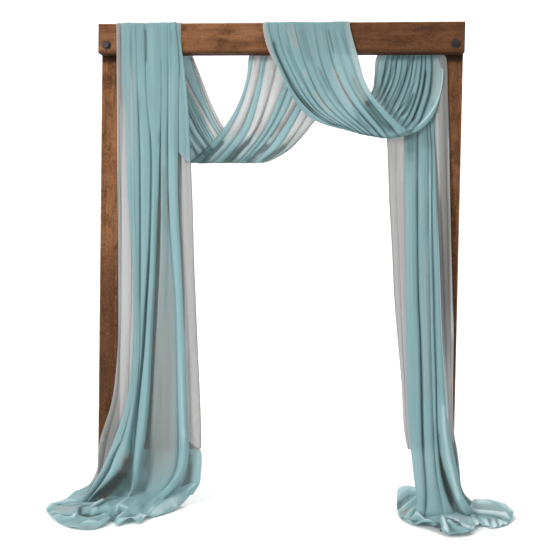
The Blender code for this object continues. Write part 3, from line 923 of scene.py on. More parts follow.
strand = {
    "folds": (
        (159.5, 160, 160, 160.5, 161, 160, 158, 155, 152, 149),
        (168, 168, 168, 167.5, 168.5, 172, 175, 176.5, 177.5, 178.5),
        (175.6, 178.5, 178.5, 178, 178.3, 181, 183, 185.5, 187, 189),
    ),
    "depths": (-0.009, -0.012, -0.012, -0.010, -0.009, -0.008, -0.008, -0.010, -0.014, -0.020),
    "floor": (
        (
            (149, 458, -0.005), (148, 474, -0.015), (144, 487, -0.035), (139, 497, -0.06),
            (134, 505, -0.09), (129, 513, -0.17),
        ),
        (
            (178, 458, -0.022), (175.5, 472, -0.035), (168.5, 485, -0.05), (159, 495, -0.07),
            (148, 504, -0.10), (137, 514, -0.17),
        ),
        (
            (188.5, 458, -0.030), (186.5, 469, -0.042), (181, 480, -0.056), (172, 490.5, -0.08),
            (161, 501, -0.11), (149, 512, -0.16),
        ),
    ),
    "middle": (1, 1, 1, 1, 1, 2, 3, 4, 5, 3, 1, 0, -2, -4, -4, -2, 0, 6, 10, 10, 4),
    "outer": (1, 1, 1, 1, 1, 2, 3, 6, 9, 12, 14, 15, 16, 18, 20, 22, 24, 24, 18, 10, 3),
    "groove": (0, 0, 0, 0, 0, 0, 1, 3, 5, 4, 3, 3, 3, 3, 3, 3, 2, 0, 0, 0, 0),
}


def leftStrand():
    lines = hangOver(fallRows, strand["folds"], strand["depths"], strand["floor"])
    strip = pleat(
        lines, (strand["middle"], strand["outer"]), (strand["groove"],), perFold=22, tucks=1.6,
        tuckWidth=0.026, seed=12,
    )
    fade = overStations(strip, (0,) * 8 + (0.05, 0.35, 0.8, 1, 1, 1, 1, 0.9, 0.6, 0.2, 0, 0, 0))
    columns = np.arange(strip["grid"].shape[1])
    inner = 1 - smoothstep((columns - 14) / 9)
    strip["tone"] = fade[:, None] * inner[None, :] * 0.8
    strip["dense"] = strip["tone"] * -0.8
    # painted shade at the top of the strand and a little painted highlight lower down
    shade(strip, (-0.18,) * 7 + (-0.1, 0) + (0.1,) * 5 + (0,) * 7)
    # painted brown shade beside the strand and painted shade along its left crease, painted highlights down
    # its middle and at its foot, a little painted shade at its top
    streak(strip, ((164, 165), (165, 200), (166, 235)), 2.5, -0.6, "tone")
    streak(strip, ((168, 190), (167.5, 260), (165, 320)), 1.1, -1.1, "tone")
    streak(
        strip, ((158.5, 200), (157, 260), (155.5, 320), (152.5, 370), (149, 430), (147, 470)), 2.2, -0.75,
    )
    streak(strip, ((184, 430), (184, 448), (182, 464), (175, 482), (165, 492)), 3.0, 0.45)
    streak(strip, ((174, 150), (174, 200), (176, 260), (179, 350), (182, 400), (183, 440)), 4.0, 0.55)
    streak(strip, ((171, 30), (172, 45)), 1.3, -0.35)
    return strip


def leftFlap():
    # a short end of the cloth beside the strand, which stops where the swag meets the post
    rows = (28, 60, 100, 130, 157)
    folds = (
        (168, 168, 168, 168, 167),
        (175, 176, 177, 177.5, 177.5),
        (177.6, 181.0, 184.5, 186.0, 185.5),
        (178.8, 183.2, 187.6, 189.2, 190.2),
    )
    drop = (-8, -6, 3, 6)
    lines = []
    for across, extra in zip(folds, drop):
        line = hang(rows[:-1], across[:-1], (-0.0065, -0.008, -0.008, -0.006))
        line.append(at(across[-1], rows[-1] + extra, -0.004))
        lines.append(overBeam(line, overhang) + line)
    strip = pleat(lines, (0.5,) * 5 + (1, 2, 3, 3, 2), perFold=12, ripple=1.4, tucks=1, seed=17)
    sideEdges(strip, 0.004, left=False, foot=True)
    # a painted shade line, a painted highlight line and a line of the second colour
    streak(strip, ((178, 52), (178.5, 80)), 1.2, -0.8)
    streak(strip, ((181.5, 60), (184.5, 100), (186, 140)), 1.2, 0.4)
    streak(strip, ((178.5, 150), (190, 162)), 1.2, 0.5, "tone")
    return strip


leftPale = {
    "folds": (
        (123, 123, 126, 127, 129, 131, 131, 129, 127, 122),
        (145, 145, 146, 146, 147, 148, 148, 146, 143, 138),
        (172, 172, 172, 172, 174, 176, 178, 179, 180, 180),
        (177.5, 178, 179.5, 181, 183, 184.5, 186, 188, 189, 190),
        (181.2, 182.4, 186, 190.3, 192.6, 194.4, 196.3, 198.6, 200.8, 201.8),
    ),
    "edge": (
        (116.3, 116.4, 116.8, 117.3, 117.6, 117.8, 117.8, 117.3, 112, 99.5),
        (119, 119, 119.5, 120, 121, 121.5, 121.5, 120, 117, 107),
        (124, 124, 127, 128, 130, 132, 132, 130, 128, 119),
    ),
    "depths": (-0.004, -0.003, 0.004, 0.008, 0.010, 0.012, 0.012, 0.012, 0.010, 0.010),
    "rise": 0.0015,
}


def leftPaleStrips():
    hem = [((across[-1] - 0.2, 448.7, 0.010),) for across in leftPale["folds"]]
    lines = hangOver(fallRows, leftPale["folds"], leftPale["depths"], hem, leftPale["rise"])
    flat = (0.5,) * 5 + (2, 2, 3, 4, 4, 5, 6, 7, 8, 8, 8)
    inner = pleat(lines, flat, perFold=14, spacing=0.009, ripple=2.4, tucks=2, seed=13)
    sideEdges(inner, 0.004, foot=True, left=False)
    shade(inner, (0.6,) * 5 + (0.6, 0.2, 0, 0, 0.1, 0, 0, 0, 0.1, 0.2, 0.2), "tone")
    columns = np.linspace(0, 1, inner["grid"].shape[1])
    inner["tone"] = inner["tone"] + 0.7 * (1 - smoothstep((columns - 0.1) / 0.25))[None, :]
    # painted highlights on the satin wrinkles at the foot, a painted shade line beside them and a painted
    # highlight along the strand's edge
    for places in (
        ((193, 352), (198, 362)), ((199, 368), (191, 381)), ((192, 392), (200, 403)),
        ((200, 412), (191, 424)), ((192, 430), (199, 440)),
    ):
        streak(inner, places, 1.6, 0.55)
    streak(inner, ((189.5, 350), (190.5, 400), (191, 445)), 1.3, -0.7)
    streak(inner, ((181, 160), (181.5, 220), (184, 300), (187, 360)), 2.6, 0.8)
    floor = (
        ((97.5, 456, 0.004), (97, 467, 0.0), (93.5, 477, -0.01), (89, 484, -0.03), (84, 492, -0.05)),
        ((104, 456, 0.002), (102, 467, -0.004), (98, 478, -0.02), (94, 487, -0.04), (90, 495, -0.06)),
        ((114, 456, -0.01), (109, 469, -0.02), (103, 481, -0.04), (98, 490, -0.06), (94, 498, -0.08)),
    )
    lines = hangOver(fallRows, leftPale["edge"], leftPale["depths"], floor, leftPale["rise"])
    flat = (0.5,) * 5 + (1, 2, 2, 3, 3, 3, 4, 4, 6, 8, 8, 10, 14, 14, 10)
    outer = pleat(lines, flat, perFold=12, spacing=0.009, ripple=2.2, tucks=1, seed=15)
    sideEdges(outer, 0.005, right=False)
    shades = (0.5,) * 7 + (0.6, 0.8, 0.9, 0.9, 0.9, 0.7, 0.2, -0.1, -0.1, -0.2, -0.3, -0.6, -0.8)
    shade(outer, shades, "tone")
    # painted shade down the left edge where it lies over the post and on the lower left, and a patch of the
    # second colour
    streak(outer, ((120.4, 26), (120.6, 60), (120.5, 110)), 0.8, -0.8)
    streak(outer, ((118.3, 160), (118.2, 260), (118.0, 370)), 1.1, -0.9)
    streak(outer, ((107, 430), (101, 455), (96, 476)), 3.0, -0.35)
    streak(outer, ((103, 436), (101, 442)), 1.5, 0.9, "tone")
    return [inner, outer]


def leftBackSheet():
    # the turquoise behind the pale panel, which comes out below its hem
    rows = (28, 60, 100, 150, 200, 260, 300, 350, 400, 440, 450, 460)
    folds = (
        (141, 141, 141, 141, 141, 140, 138, 136, 134, 132, 131.5, 131),
        (157, 159, 161, 162, 162, 161, 160, 159, 158, 158, 158, 158),
        (167, 170, 175, 180, 181, 182, 183, 183, 183, 184, 188, 189),
        (170, 173, 177, 181, 182, 184, 185, 185, 185, 188, 200.5, 201.8),
    )
    depths = (-0.003, -0.001, 0.008, 0.022, 0.028, 0.034, 0.038, 0.040, 0.038, 0.030, 0.022, 0.016)
    floor = (
        ((131, 476, 0.010), (130, 487, 0.012), (129, 497, 0.012)),
        ((158, 477, 0.008), (157, 488, 0.008), (154, 499, 0.008)),
        ((189, 473, 0.006), (187.5, 484, 0.006), (182, 496, 0.006)),
        ((201, 473, 0.004), (199.5, 484, 0.002), (193, 494.5, 0.0)),
    )
    lines = hangOver(rows, folds, depths, floor, 0.0008)
    flat = (0.5,) * 5 + (0.5, 1, 2) + (5,) * 12
    strip = pleat(lines, flat, perFold=12, spacing=0.009, ripple=2.2, tucks=2, seed=14)
    shade(strip, (1,) * 7 + (0.9, 0.8, 0.8, 0.8, 0.8, 0.8, 0.8, 0.6, 0.5, 0.3, 0.1, 0, 0), "tone")
    # painted shadow in the gap by the strand and in the hollow on the left, partly as brown tone, and a
    # painted highlight line
    streak(strip, ((189.5, 452), (189.5, 466), (187, 480), (181, 488)), 3.0, -1.0)
    streak(strip, ((190, 462), (190, 474), (186, 487)), 3.4, -1.2, "tone")
    streak(strip, ((149, 425), (148, 450), (145, 470)), 3.4, -0.9)
    streak(strip, ((149, 425), (147, 450), (144, 474)), 3.0, -1.0, "tone")
    streak(strip, ((194, 450), (194, 482)), 1.2, 0.4)
    return strip


leftPuddle = {
    "edge": (
        (104, 498), (94, 499), (84, 499.5), (73, 500.5), (61, 502), (52, 504),
        (46.5, 508.5), (49, 514.5), (56.5, 521.5), (66, 526.5), (79, 529.5),
        (92, 529.5), (104, 526.5), (113, 521), (117, 526), (130, 523),
        (139, 524), (147, 519), (160, 515.5), (175, 510.5), (187, 499.5, 0.034), (198, 484.5, 0.112),
    ),
    "root": (
        (108, 486, 0.075), (103, 487.5, 0.075), (99, 489, 0.07), (95, 491, 0.06), (91, 493, 0.055),
        (88, 495, 0.05),
        (86, 497, 0.05), (88, 499, 0.045), (91, 501, 0.04), (94, 502, 0.04), (98, 502, 0.04),
        (103, 502, 0.045), (109, 501, 0.05), (115, 499, 0.055), (121, 497, 0.06), (128, 495, 0.065),
        (135, 494, 0.070), (143, 493, 0.074), (152, 494, 0.076), (164, 491.5, 0.084), (176, 488.5, 0.094),
        (189, 485.5, 0.107),
    ),
    "ridges": (
        (
            ((98, 478, 0.112), (93, 482, 0.094), (87, 486, 0.078), (80, 490, 0.058), (73, 493, 0.040)),
            0.030, 1.1,
        ),
        (
            (
                (74, 493, 0.042), (67, 492, 0.034), (60, 495.5, 0.026), (54, 497.5, 0.016),
                (50, 502.5, 0.008),
            ),
            0.026, 1.0,
        ),
        (((74, 501, 0.030), (63, 502, 0.028), (55, 503, 0.024), (51, 507, 0.018)), 0.022, 1.1),
        (
            (
                (110, 496, 0.065), (98, 501, 0.060), (88, 504, 0.052), (80, 508, 0.045), (75, 514, 0.034),
                (73, 521, 0.012),
            ),
            0.020, 1.0,
        ),
        (((139, 491, 0.080), (127, 500, 0.060), (112, 508, 0.045), (98, 517, 0.030)), 0.046, 1.4),
        (((120, 519, 0.024), (132, 518, 0.026), (143, 515.5, 0.022)), 0.028, 1.2),
        (((166, 492, 0.075), (156, 501, 0.050), (147, 512, 0.020)), 0.030, 1.1),
        (((70, 517, 0.026), (60, 515, 0.024), (53, 511, 0.018)), 0.022, 1.1),
        (((88, 520, 0.030), (100, 521, 0.026), (110, 517, 0.026)), 0.030, 1.2),
    ),
    "hollows": (
        (((85, 510, 0.02), (80, 513, 0.02), (91, 515.5, 0.02), (102, 514, 0.02)), 0.030, 0.75),
        (((60, 505, 0.02), (74, 505.5, 0.02), (84, 503, 0.03)), 0.014, 0.7),
        (((128, 494, 0.05), (116, 499, 0.04), (105, 502, 0.04)), 0.014, 0.6),
        (((113, 524), (114, 517, 0.02), (122, 511, 0.03)), 0.014, 0.6),
        (((54, 515, 0.01), (70, 516, 0.015)), 0.012, 0.6),
    ),
    # painted shade in the hollows and painted highlights on the folds of the puddle, with a few lines of
    # the paler second colour
    "paint": (
        (((107, 497), (96, 502), (85, 505), (77, 509), (73, 515), (72, 520)), 1.6, 0.6),
        (((82, 509), (79, 514), (92, 516), (103, 514)), 1.8, -0.8),
        (((128, 494), (116, 498), (105, 501), (95, 506)), 1.5, -1.0),
        (((134, 490), (130, 496)), 1.8, -1.0),
        (((132, 486), (120, 492), (106, 497)), 3.4, -0.9),
        (((58, 505), (72, 505.5), (83, 503)), 1.0, -0.9),
        (((54, 515.5), (70, 516)), 0.9, -0.6),
        (((60, 499), (68, 495)), 1.0, -0.8),
        (((56, 510), (68, 510), (78, 508)), 4.0, 0.7, "tone"),
        (((64, 524), (84, 528), (100, 525)), 3.0, 0.35, "tone"),
        (((90, 500), (101, 496), (110, 486)), 2.0, -1.0),
        (((90, 492), (84, 498), (86, 503)), 1.6, -0.6),
        (((150, 497), (142, 507), (134, 515)), 1.0, -0.45),
        (((168, 497), (155, 507), (147, 517)), 0.8, -0.7),
        (((146, 520), (174, 511), (187, 500), (198, 487)), 0.7, -0.6),
        (((206, 479), (196, 488), (186, 496), (172, 505), (158, 512), (142, 520)), 6.0, 1.0),
        (((200, 484), (186, 491), (172, 498), (156, 507), (138, 517)), 4.0, 0.7),
        (((114, 526), (113.5, 520)), 1.1, -1.0),
        (((138, 494), (130, 504), (115, 516)), 5.0, 0.45),
        (((98, 508), (108, 520)), 3.0, 0.4),
    ),
}


def leftPuddleStrip():
    strip = puddle(
        leftPuddle["edge"], leftPuddle["root"], leftPuddle["ridges"], leftPuddle["hollows"], seed=61,
    )
    # painted light over the whole puddle
    strip["ridge"] = strip["ridge"] + 0.30
    for line in leftPuddle["paint"]:
        streak(strip, *line)
    return strip


turquoiseLeft = buildCloth(
    "left_fall_cloth", [leftFolds(), leftStrand(), leftFlap(), leftBackSheet(), leftPuddleStrip()],
    turquoise,
)
paleLeft = buildCloth("left_pale_cloth", leftPaleStrips(), pale)
print("left fall hung")


# First swag: each fold line goes down behind, turns at the bottom and comes up in front
swagOne = {
    "topLeft": (160, 161.5, 163, 166, 170.5, 174, 178, 190, 192.5),
    "leftLeg": (
        ((162.3, 80), (167, 106), (174.5, 130), (185, 150)),
        ((166, 80), (173, 106), (183, 130), (194.5, 150)),
        ((169.7, 80), (179, 106), (190.7, 130), (204, 150)),
        ((174.3, 80), (186, 106), (198, 130), (211.5, 150)),
        ((179.8, 80), (192, 106), (203.8, 130), (217.5, 150)),
        ((183, 80), (196.8, 106), (210, 130), (224, 150)),
        ((187.2, 80), (201.3, 106), (215.4, 130), (230, 150)),
        ((197.3, 80), (207.5, 106), (219.5, 130), (236, 150)),
        ((201.8, 80), (212, 106), (225, 130), (243, 153)),
    ),
    "turn": (187, 199, 210, 220, 234, 243, 249, 255, 260),
    "rightLeg": (
        ((204.5, 150), (222.5, 130), (238, 104), (246.8, 76), (249.3, 56)),
        ((214.5, 150), (230.5, 130), (243, 104), (250.8, 76), (254.6, 56)),
        ((226, 150), (240.5, 130), (251, 104), (258.5, 76), (262, 56)),
        ((235, 150), (249.5, 130), (258.5, 104), (264.5, 76), (268, 56)),
        ((249.5, 150), (264.5, 130), (276, 104), (286, 78), (292, 56)),
        ((260, 150), (275.5, 130), (290, 104), (299, 78), (304, 56)),
        ((267, 150), (281.5, 130), (297, 104), (306, 78), (311, 56)),
        ((276, 150), (290.5, 130), (304.5, 104), (316, 80), (322, 56)),
        ((287, 151), (310.5, 125.5), (323.5, 105), (330, 80), (333, 56)),
    ),
    "front": (265, 269, 275, 280, 296, 309, 317, 332, 347),
    "leftDepths": (0.098, 0.108, 0.112, 0.108),
    "turnDepth": 0.094,
    "rightDepths": (0.078, 0.076, 0.078, 0.080, 0.080),
    "bulge": (1, 1, 3, 6, 10, 13, 14, 10, 1, -14, -19, -17, -12, -7, -3, -1, -0.5),
    "pale": (1, 3, 5, 7),
    "mixed": (1, 3),
    "overlap": 0.08,
    "foldWidth": 0.052,
    "fullWidth": 0.045,
    "tones": {
        1: (0,) * 8 + (-1.0, -1.9, 0.1, 0.8),
        3: (0,) * 8 + (-1.0, -1.9, 0.0, 0.9),
        5: (0.6,) * 7 + (0.3, -1.0, -1.4, -0.1, 0.2),
        7: (0.5,) * 8 + (-1.0, -0.9, 0.6, 0.9),
    },
    # painted shade in the creases, along the bottom and under the beam, and painted highlights on the folds
    "paint": (
        (((244, 92), (236, 112), (226, 130), (213, 144), (198, 157)), 3.0, -0.40),
        (((203, 161), (208, 158), (213, 153), (219, 147), (224, 141)), 2.4, -1.2),
        (((209, 160.5), (217, 153), (225, 145), (232, 136)), 1.5, 0.55),
        (((225, 162), (230, 159), (235, 153), (242, 147), (250, 141)), 2.8, -1.3),
        (((238, 158), (246, 149), (253, 142), (257, 137)), 1.4, 0.6),
        (((247, 162), (251, 159), (257, 153), (263, 149), (268, 144)), 2.6, -1.3),
        (((256, 159), (266, 151.5), (276, 145), (281, 138)), 1.4, 0.5),
        (((262, 161), (267, 158), (273, 154), (280, 150), (285, 145)), 2.0, -1.1),
        (((270, 138), (276, 130), (281, 122)), 1.5, -0.9),
        (((239, 136), (243, 127), (247, 116), (251, 104), (254.5, 93)), 1.0, -0.7),
        (((278, 131), (285, 121), (290, 112), (295, 104)), 2.2, -0.7),
        (((273, 66), (270, 88), (262, 108), (255, 126), (247, 138)), 1.8, 1.2),
        (((257, 66), (252, 88), (245, 108), (236, 128)), 2.2, 0.6),
        (((306, 116), (297, 128), (290, 138)), 2.5, 1.0),
        (((185, 104), (188, 111), (197, 129.5), (207, 144), (212, 152)), 1.6, -2.2),
        (((185, 120), (188, 126.5), (195.3, 140), (202, 148.5), (208, 156)), 1.9, -2.2),
        (((183, 136), (189, 144), (194.3, 150), (199, 156)), 1.5, -2.2),
        (((188.6, 118), (197.2, 134), (206, 147)), 1.1, 0.9),
        (((189, 135), (195.3, 145.5), (201, 151.5)), 1.1, 0.9),
        (((184.3, 73.6), (190.5, 87), (199, 102), (208.7, 118.5), (218.3, 134.8)), 1.2, -0.8),
        (((188.4, 90), (197, 106), (207, 122), (214, 134)), 1.2, 0.6),
        (((190.5, 102.3), (199, 120.4), (209.7, 141.5)), 1.0, -0.8),
        (((190, 64), (197, 84), (205, 104)), 2.2, 0.35),
        (((245, 58), (258, 58), (277, 59)), 3.2, -0.9),
        (((255.5, 58), (255.2, 66), (253.5, 76)), 1.0, -0.8),
        (((264, 58), (263, 68), (260.5, 80)), 1.0, -0.7),
        (((186, 58), (190, 59), (194, 60)), 2.5, -0.8),
    ),
}


def swagOneLines():
    lines = []
    lastLine = len(swagOne["turn"]) - 1
    for k in range(lastLine + 1):
        share = k / lastLine
        topLeft = at(swagOne["topLeft"][k], 56, 0.082)
        line = [
            np.array((topLeft[0] - 0.10, 0.030, beamHigh.z + 0.002)),
            np.array((topLeft[0] - 0.08, 0.078, beamHigh.z - 0.001)),
            np.array((topLeft[0] - 0.04, 0.085, beamHigh.z - 0.06)),
            topLeft,
        ]
        line += hangPlaces(swagOne["leftLeg"][k], swagOne["leftDepths"])
        line.append(at(swagOne["turn"][k], 163.5 - 0.8 * abs(share - 0.5), swagOne["turnDepth"]))
        line += hangPlaces(swagOne["rightLeg"][k], swagOne["rightDepths"])
        front = at(swagOne["front"][k], 24, 0.0)
        line += [
            np.array((line[-1][0] * 0.5 + front[0] * 0.5, 0.083, beamHigh.z - 0.06)),
            np.array((front[0] - 0.01, 0.077, beamHigh.z - 0.001)),
            np.array((front[0], 0.030, beamHigh.z + 0.002)),
        ]
        lines.append(line)
    return lines


def rowsOf(strip, first, last):
    # a part of a strip, from one row to another
    size = strip["grid"].shape[:2]
    part = {"grid": strip["grid"][first:last], "stations": strip["stations"]}
    for key in ("u", "v", "ridge", "tone", "dense"):
        part[key] = np.broadcast_to(strip.get(key, 0.0), size)[first:last]
    return part


def swagOneStrips(wanted):
    lines = swagOneLines()
    strips = []
    for k in range(len(lines) - 1):
        light = k in swagOne["pale"]
        mixed = k in swagOne["mixed"]
        if light != wanted and not mixed:
            continue
        left = np.array(lines[k])
        right = np.array(lines[k + 1])
        spanned = right - left
        first = left - spanned * swagOne["overlap"]
        last = right + spanned * swagOne["overlap"]
        broad = np.linalg.norm(spanned, axis=1)[9:13].mean()
        marks = ((0, 1), (0, 0.46, 1), (0, 0.35, 0.68, 1))[min(2, int(broad / swagOne["foldWidth"]))]
        made = [first + (last - first) * share for share in marks]
        full = min(1.0, broad / (len(marks) - 1) / swagOne["fullWidth"])
        bulge = [value * full for value in swagOne["bulge"]]
        groove = (0, 0, 0, 0, 2, 2, 2, 2, 0, -2, -3, -3, -2, 0, 0, 0, 0)
        strip = pleat(
            made, bulge, [groove] * (len(marks) - 2), perFold=13, spacing=0.007, ripple=1, tucks=0.8,
            tuckWidth=0.026, seed=20 + k,
        )
        across = np.linspace(0, 1, strip["grid"].shape[1])[None, :]
        border = np.exp(-((across / 0.09) ** 2)) + np.exp(-(((1 - across) / 0.09) ** 2))
        # painted shade at the edges of each strip, where the strips tuck under each other, and a little
        # over the pale ones; on the turquoise it is brown tone
        if wanted:
            shade(strip, swagOne["tones"][k] + (0.5, 0.5, 0.5, 0.5, 0.5), "tone")
            strip["ridge"] = strip["ridge"] - 0.7 * border - 0.10
            strip["dense"] = 0.3
        else:
            strip["tone"] = -0.9 * border
            strip["ridge"] = strip["ridge"] - 0.25 * border
        # painted light on the lower left leg and painted shade along the bottom turn
        leg = (0, 0.1, 0.1) if wanted else (0.40, 0.75, 0.60)
        shade(strip, (0,) * 5 + leg + (-0.50, -0.40, -0.1) + (0,) * 6)
        turned = strip["stations"][8]
        if mixed and wanted:
            strip = rowsOf(strip, turned, None)
        if mixed and not wanted:
            strip = rowsOf(strip, 0, turned + 1)
        strips.append(strip)
    for line in swagOne["paint"]:
        streak(strips, *line)
    return strips


swagOneTurquoise = buildCloth("swag_1_cloth", swagOneStrips(False), turquoise)
swagOnePaleCloth = buildCloth("swag_1_pale_cloth", swagOneStrips(True), brightPale)
print("first swag hung")


# Second swag: down the beam's face, round at the bottom, and up behind to the hooks
swagTwo = {
    "front": (
        (
            (265.5, 27), (267.5, 39), (271.5, 53), (279, 73), (288.8, 94), (299, 110), (310.5, 119.5),
            (324, 125),
        ),
        ((268, 27), (270, 38), (275, 53), (284, 73), (295, 94), (307, 108), (321, 119), (336, 125.5)),
        ((272.5, 27), (274.5, 38), (279, 53), (289, 76), (301, 96), (313, 110), (329, 121), (344, 127.5)),
        ((284, 27), (286, 40), (290, 55), (301, 79), (311, 98), (323, 112), (338, 122), (353, 130)),
        ((296, 27), (299, 40), (304, 57), (313, 82), (323, 101), (335, 114), (348, 124), (361, 132.5)),
        ((312, 27), (314, 42), (318, 62), (327, 86), (337, 103), (348, 116), (360, 126), (371, 134.5)),
        ((328, 27), (330, 42), (334, 60), (344, 86), (354, 103), (365, 117), (374, 127), (382, 136)),
        ((342, 27), (345, 42), (350, 62), (359, 86), (368, 102), (379, 116), (388, 127), (395, 136)),
        ((350, 27), (354, 43), (359, 60), (364.5, 80), (374, 97), (386, 111), (397, 122), (407, 130)),
    ),
    "turn": (
        (340, 126.5), (347, 128.5), (354, 131), (363, 134), (370, 134), (379, 137), (389, 138), (400, 137),
        (415, 132),
    ),
    "back": (
        ((355, 114), (363, 101), (370.5, 90), (372.5, 76), (374.5, 57)),
        ((361, 115), (370, 102), (377, 88), (380.5, 74), (384, 57)),
        ((368, 116), (378, 103), (386, 89), (391, 74), (394, 57)),
        ((377, 117), (386, 104), (394, 89), (399, 74), (401, 57)),
        ((387, 118), (395, 105), (402, 90), (407, 74), (409, 57)),
        ((396, 119), (404, 106), (410, 91), (414, 74), (416, 57)),
        ((406, 121), (413, 107), (418, 91), (421, 74), (422, 57)),
        ((416, 123), (422, 108), (427, 92), (429, 74), (429, 57)),
        ((431, 120), (437, 108), (441, 93), (443.4, 76), (442, 58)),
    ),
    "frontDepths": (-0.008, -0.011, -0.014, -0.014, -0.010, 0.0, 0.012, 0.026),
    "turnDepth": 0.050,
    "backDepths": (0.078, 0.088, 0.094, 0.092, 0.086),
    "outerDepths": (0.072, 0.064, 0.056, 0.055, 0.078),
    "marks": (0.3, 1.3, 1.9, 2.5, 3.2, 3.9, 4.6, 5.2, 5.9, 6.5, 7.2, 8),
    "bulge": (0.5, 0.5, 0.5, 0.6, 0.8, 1.2, 2, 3, 6, 9, 11, 11, 9, 1, -9, -12, -11, -9, -6, -4, -2, -1, -1),
    "deep": {1: 1.0, 3: 0.5, 5: 0.7, 8: 0.9, 10: 0.7},
    # painted shade in the creases and hollows, painted highlights along the rims and edges, and lines of
    # the second and other colours
    "paint": (
        (((273, 40), (276, 52), (284, 71), (292, 88), (301, 100), (313, 111)), 1.7, -1.0),
        (((268, 34), (272, 54), (280, 74), (290, 94)), 1.6, 0.35),
        (((272, 56), (279, 75), (288, 96), (299, 112), (311, 121), (324, 125)), 0.9, -1.0),
        (((324, 124), (340, 125), (352, 130), (366, 134), (385, 137)), 1.0, -0.9),
        (((300, 27), (304, 44), (310, 62)), 5.0, -0.25),
        (((306, 30), (311, 48), (318, 66)), 0.9, 0.5, "tone"),
        (((320, 28), (323, 44), (328, 62)), 0.8, 0.45, "tone"),
        (((286, 44), (294, 66), (303, 82), (312, 97), (322, 109)), 1.1, -0.5),
        (((319, 68), (327, 86), (337, 102), (348, 114), (360, 124)), 1.3, -0.75),
        (((353, 109), (360.7, 120.4), (372, 130.3)), 1.4, -1.0),
        (((342, 104), (352, 116), (358, 125)), 1.6, 0.7),
        (((328, 29), (331, 41), (334, 54)), 0.9, -0.9),
        (((341, 32), (345, 44), (349, 58)), 0.8, -0.5),
        (((352, 76), (357, 88), (364, 99), (370, 108)), 1.8, -0.8, "tone"),
        (((366, 100), (372, 110), (381, 121), (394, 132)), 3.6, -1.4),
        (((284, 25), (290, 36), (294, 46)), 1.0, 0.8, "tone"),
        (((291, 25), (295, 36), (298, 52)), 1.8, 0.8, "tone"),
        (((315, 92), (323, 104), (332, 113)), 1.8, 0.9, "tone"),
        (((333, 66), (340, 82), (346, 94), (352, 106)), 2.2, 1.0, "tone"),
        (((304, 70), (307, 78)), 1.8, 0.7, "tone"),
        (((336, 27), (344, 52), (352, 74)), 1.2, 0.25),
        (
            ((349, 20), (352, 34), (354, 46), (357, 60), (360, 70), (363, 80), (367, 88), (371, 93)), 3.2,
            1.6, "tone",
        ),
        (((350, 26), (353, 40), (355.5, 52), (358, 63), (361, 74), (364, 83), (368, 90)), 2.8, 1.0),
        (((371, 94), (386, 109), (397, 120), (406, 128)), 2.0, 0.8),
        (((372, 97), (385, 110.5), (397, 122), (406, 129)), 1.6, 0.6),
        (
            (
                (405, 129.5), (412.5, 128.5), (420.5, 124), (428, 116), (435.5, 105), (440, 93.5),
                (442.3, 82), (443.4, 62),
            ),
            1.1, 1.6,
        ),
        (((388.5, 60), (386, 71), (381.5, 84), (375.5, 94)), 1.3, -0.9),
        (((381, 90), (378, 96), (375, 101)), 2.2, 0.8, "tone"),
        (((396.5, 60), (393.5, 70.6), (388.5, 84), (384, 94)), 1.2, -0.9),
        (((399, 60), (397.3, 70.6), (391, 84), (384.5, 96.5), (379.5, 105)), 1.3, 0.9),
        (((412, 58), (407.5, 70.6), (402, 84), (398, 93.6), (392, 106)), 2.2, -1.0),
        (((415.8, 78), (409, 89), (404.3, 101), (394, 112)), 0.9, 1.1),
        (((413, 82), (409, 92), (404.5, 103), (398, 111)), 1.0, -1.3),
        (((416.5, 83), (412, 93.6), (405.8, 106), (398.2, 115)), 0.9, 1.1),
        (((414, 92), (410.5, 101), (406.5, 110), (401, 116)), 1.6, -1.5),
        (((426.5, 70), (423.4, 89), (419.6, 103.5), (415.8, 113.5), (412.7, 122)), 1.5, -1.3),
        (((409.7, 112), (405, 116), (398.9, 121)), 1.2, 0.9),
        (((378, 24), (378, 40), (377.5, 56), (376, 68), (374, 80), (370, 94)), 3.0, 1.6, "tone"),
        (((378, 24), (378, 40), (377.5, 56), (376, 68), (374, 80), (370, 94)), 2.6, 1.9),
        (((434, 58), (433.5, 75), (432, 92)), 1.6, 0.7, "tone"),
        (((439.5, 56), (440, 72), (438, 88), (434, 101)), 2.8, 1.0, "tone"),
        (((439.5, 56), (440, 72), (438, 88), (434, 101)), 2.8, 0.5),
        (((388, 58), (400, 58), (412, 58), (426, 58)), 2.4, -0.6),
    ),
}


hooks = {"places": (0.560, 0.695), "middle": 0.628, "sag": 0.22}


def hookTop(foot, gather, height):
    # where a line meets the hooks, drawn together by gather, and how high it is held there
    reach = foot[0] + (hooks["middle"] - foot[0]) * gather
    nearest = min(abs(reach - place) for place in hooks["places"])
    return reach, height - hooks["sag"] * nearest


def swagTwoLines():
    lines = []
    lastLine = len(swagTwo["front"]) - 1
    for k in range(lastLine + 1):
        line = hangPlaces(swagTwo["front"][k], swagTwo["frontDepths"])
        line = overBeam(line, -0.02) + line
        line.append(at(*swagTwo["turn"][k], swagTwo["turnDepth"]))
        depths = swagTwo["outerDepths" if k == lastLine else "backDepths"]
        line += hangPlaces(swagTwo["back"][k], depths)
        reach, top = hookTop(line[-1], 0.28, 2.398)
        line += [
            np.array((reach, 0.086, top - 0.030)),
            np.array((reach, 0.092, top)),
            np.array((reach, 0.104, top - 0.004)),
            np.array((reach, 0.110, top - 0.05)),
        ]
        lines.append(line)
    return lines


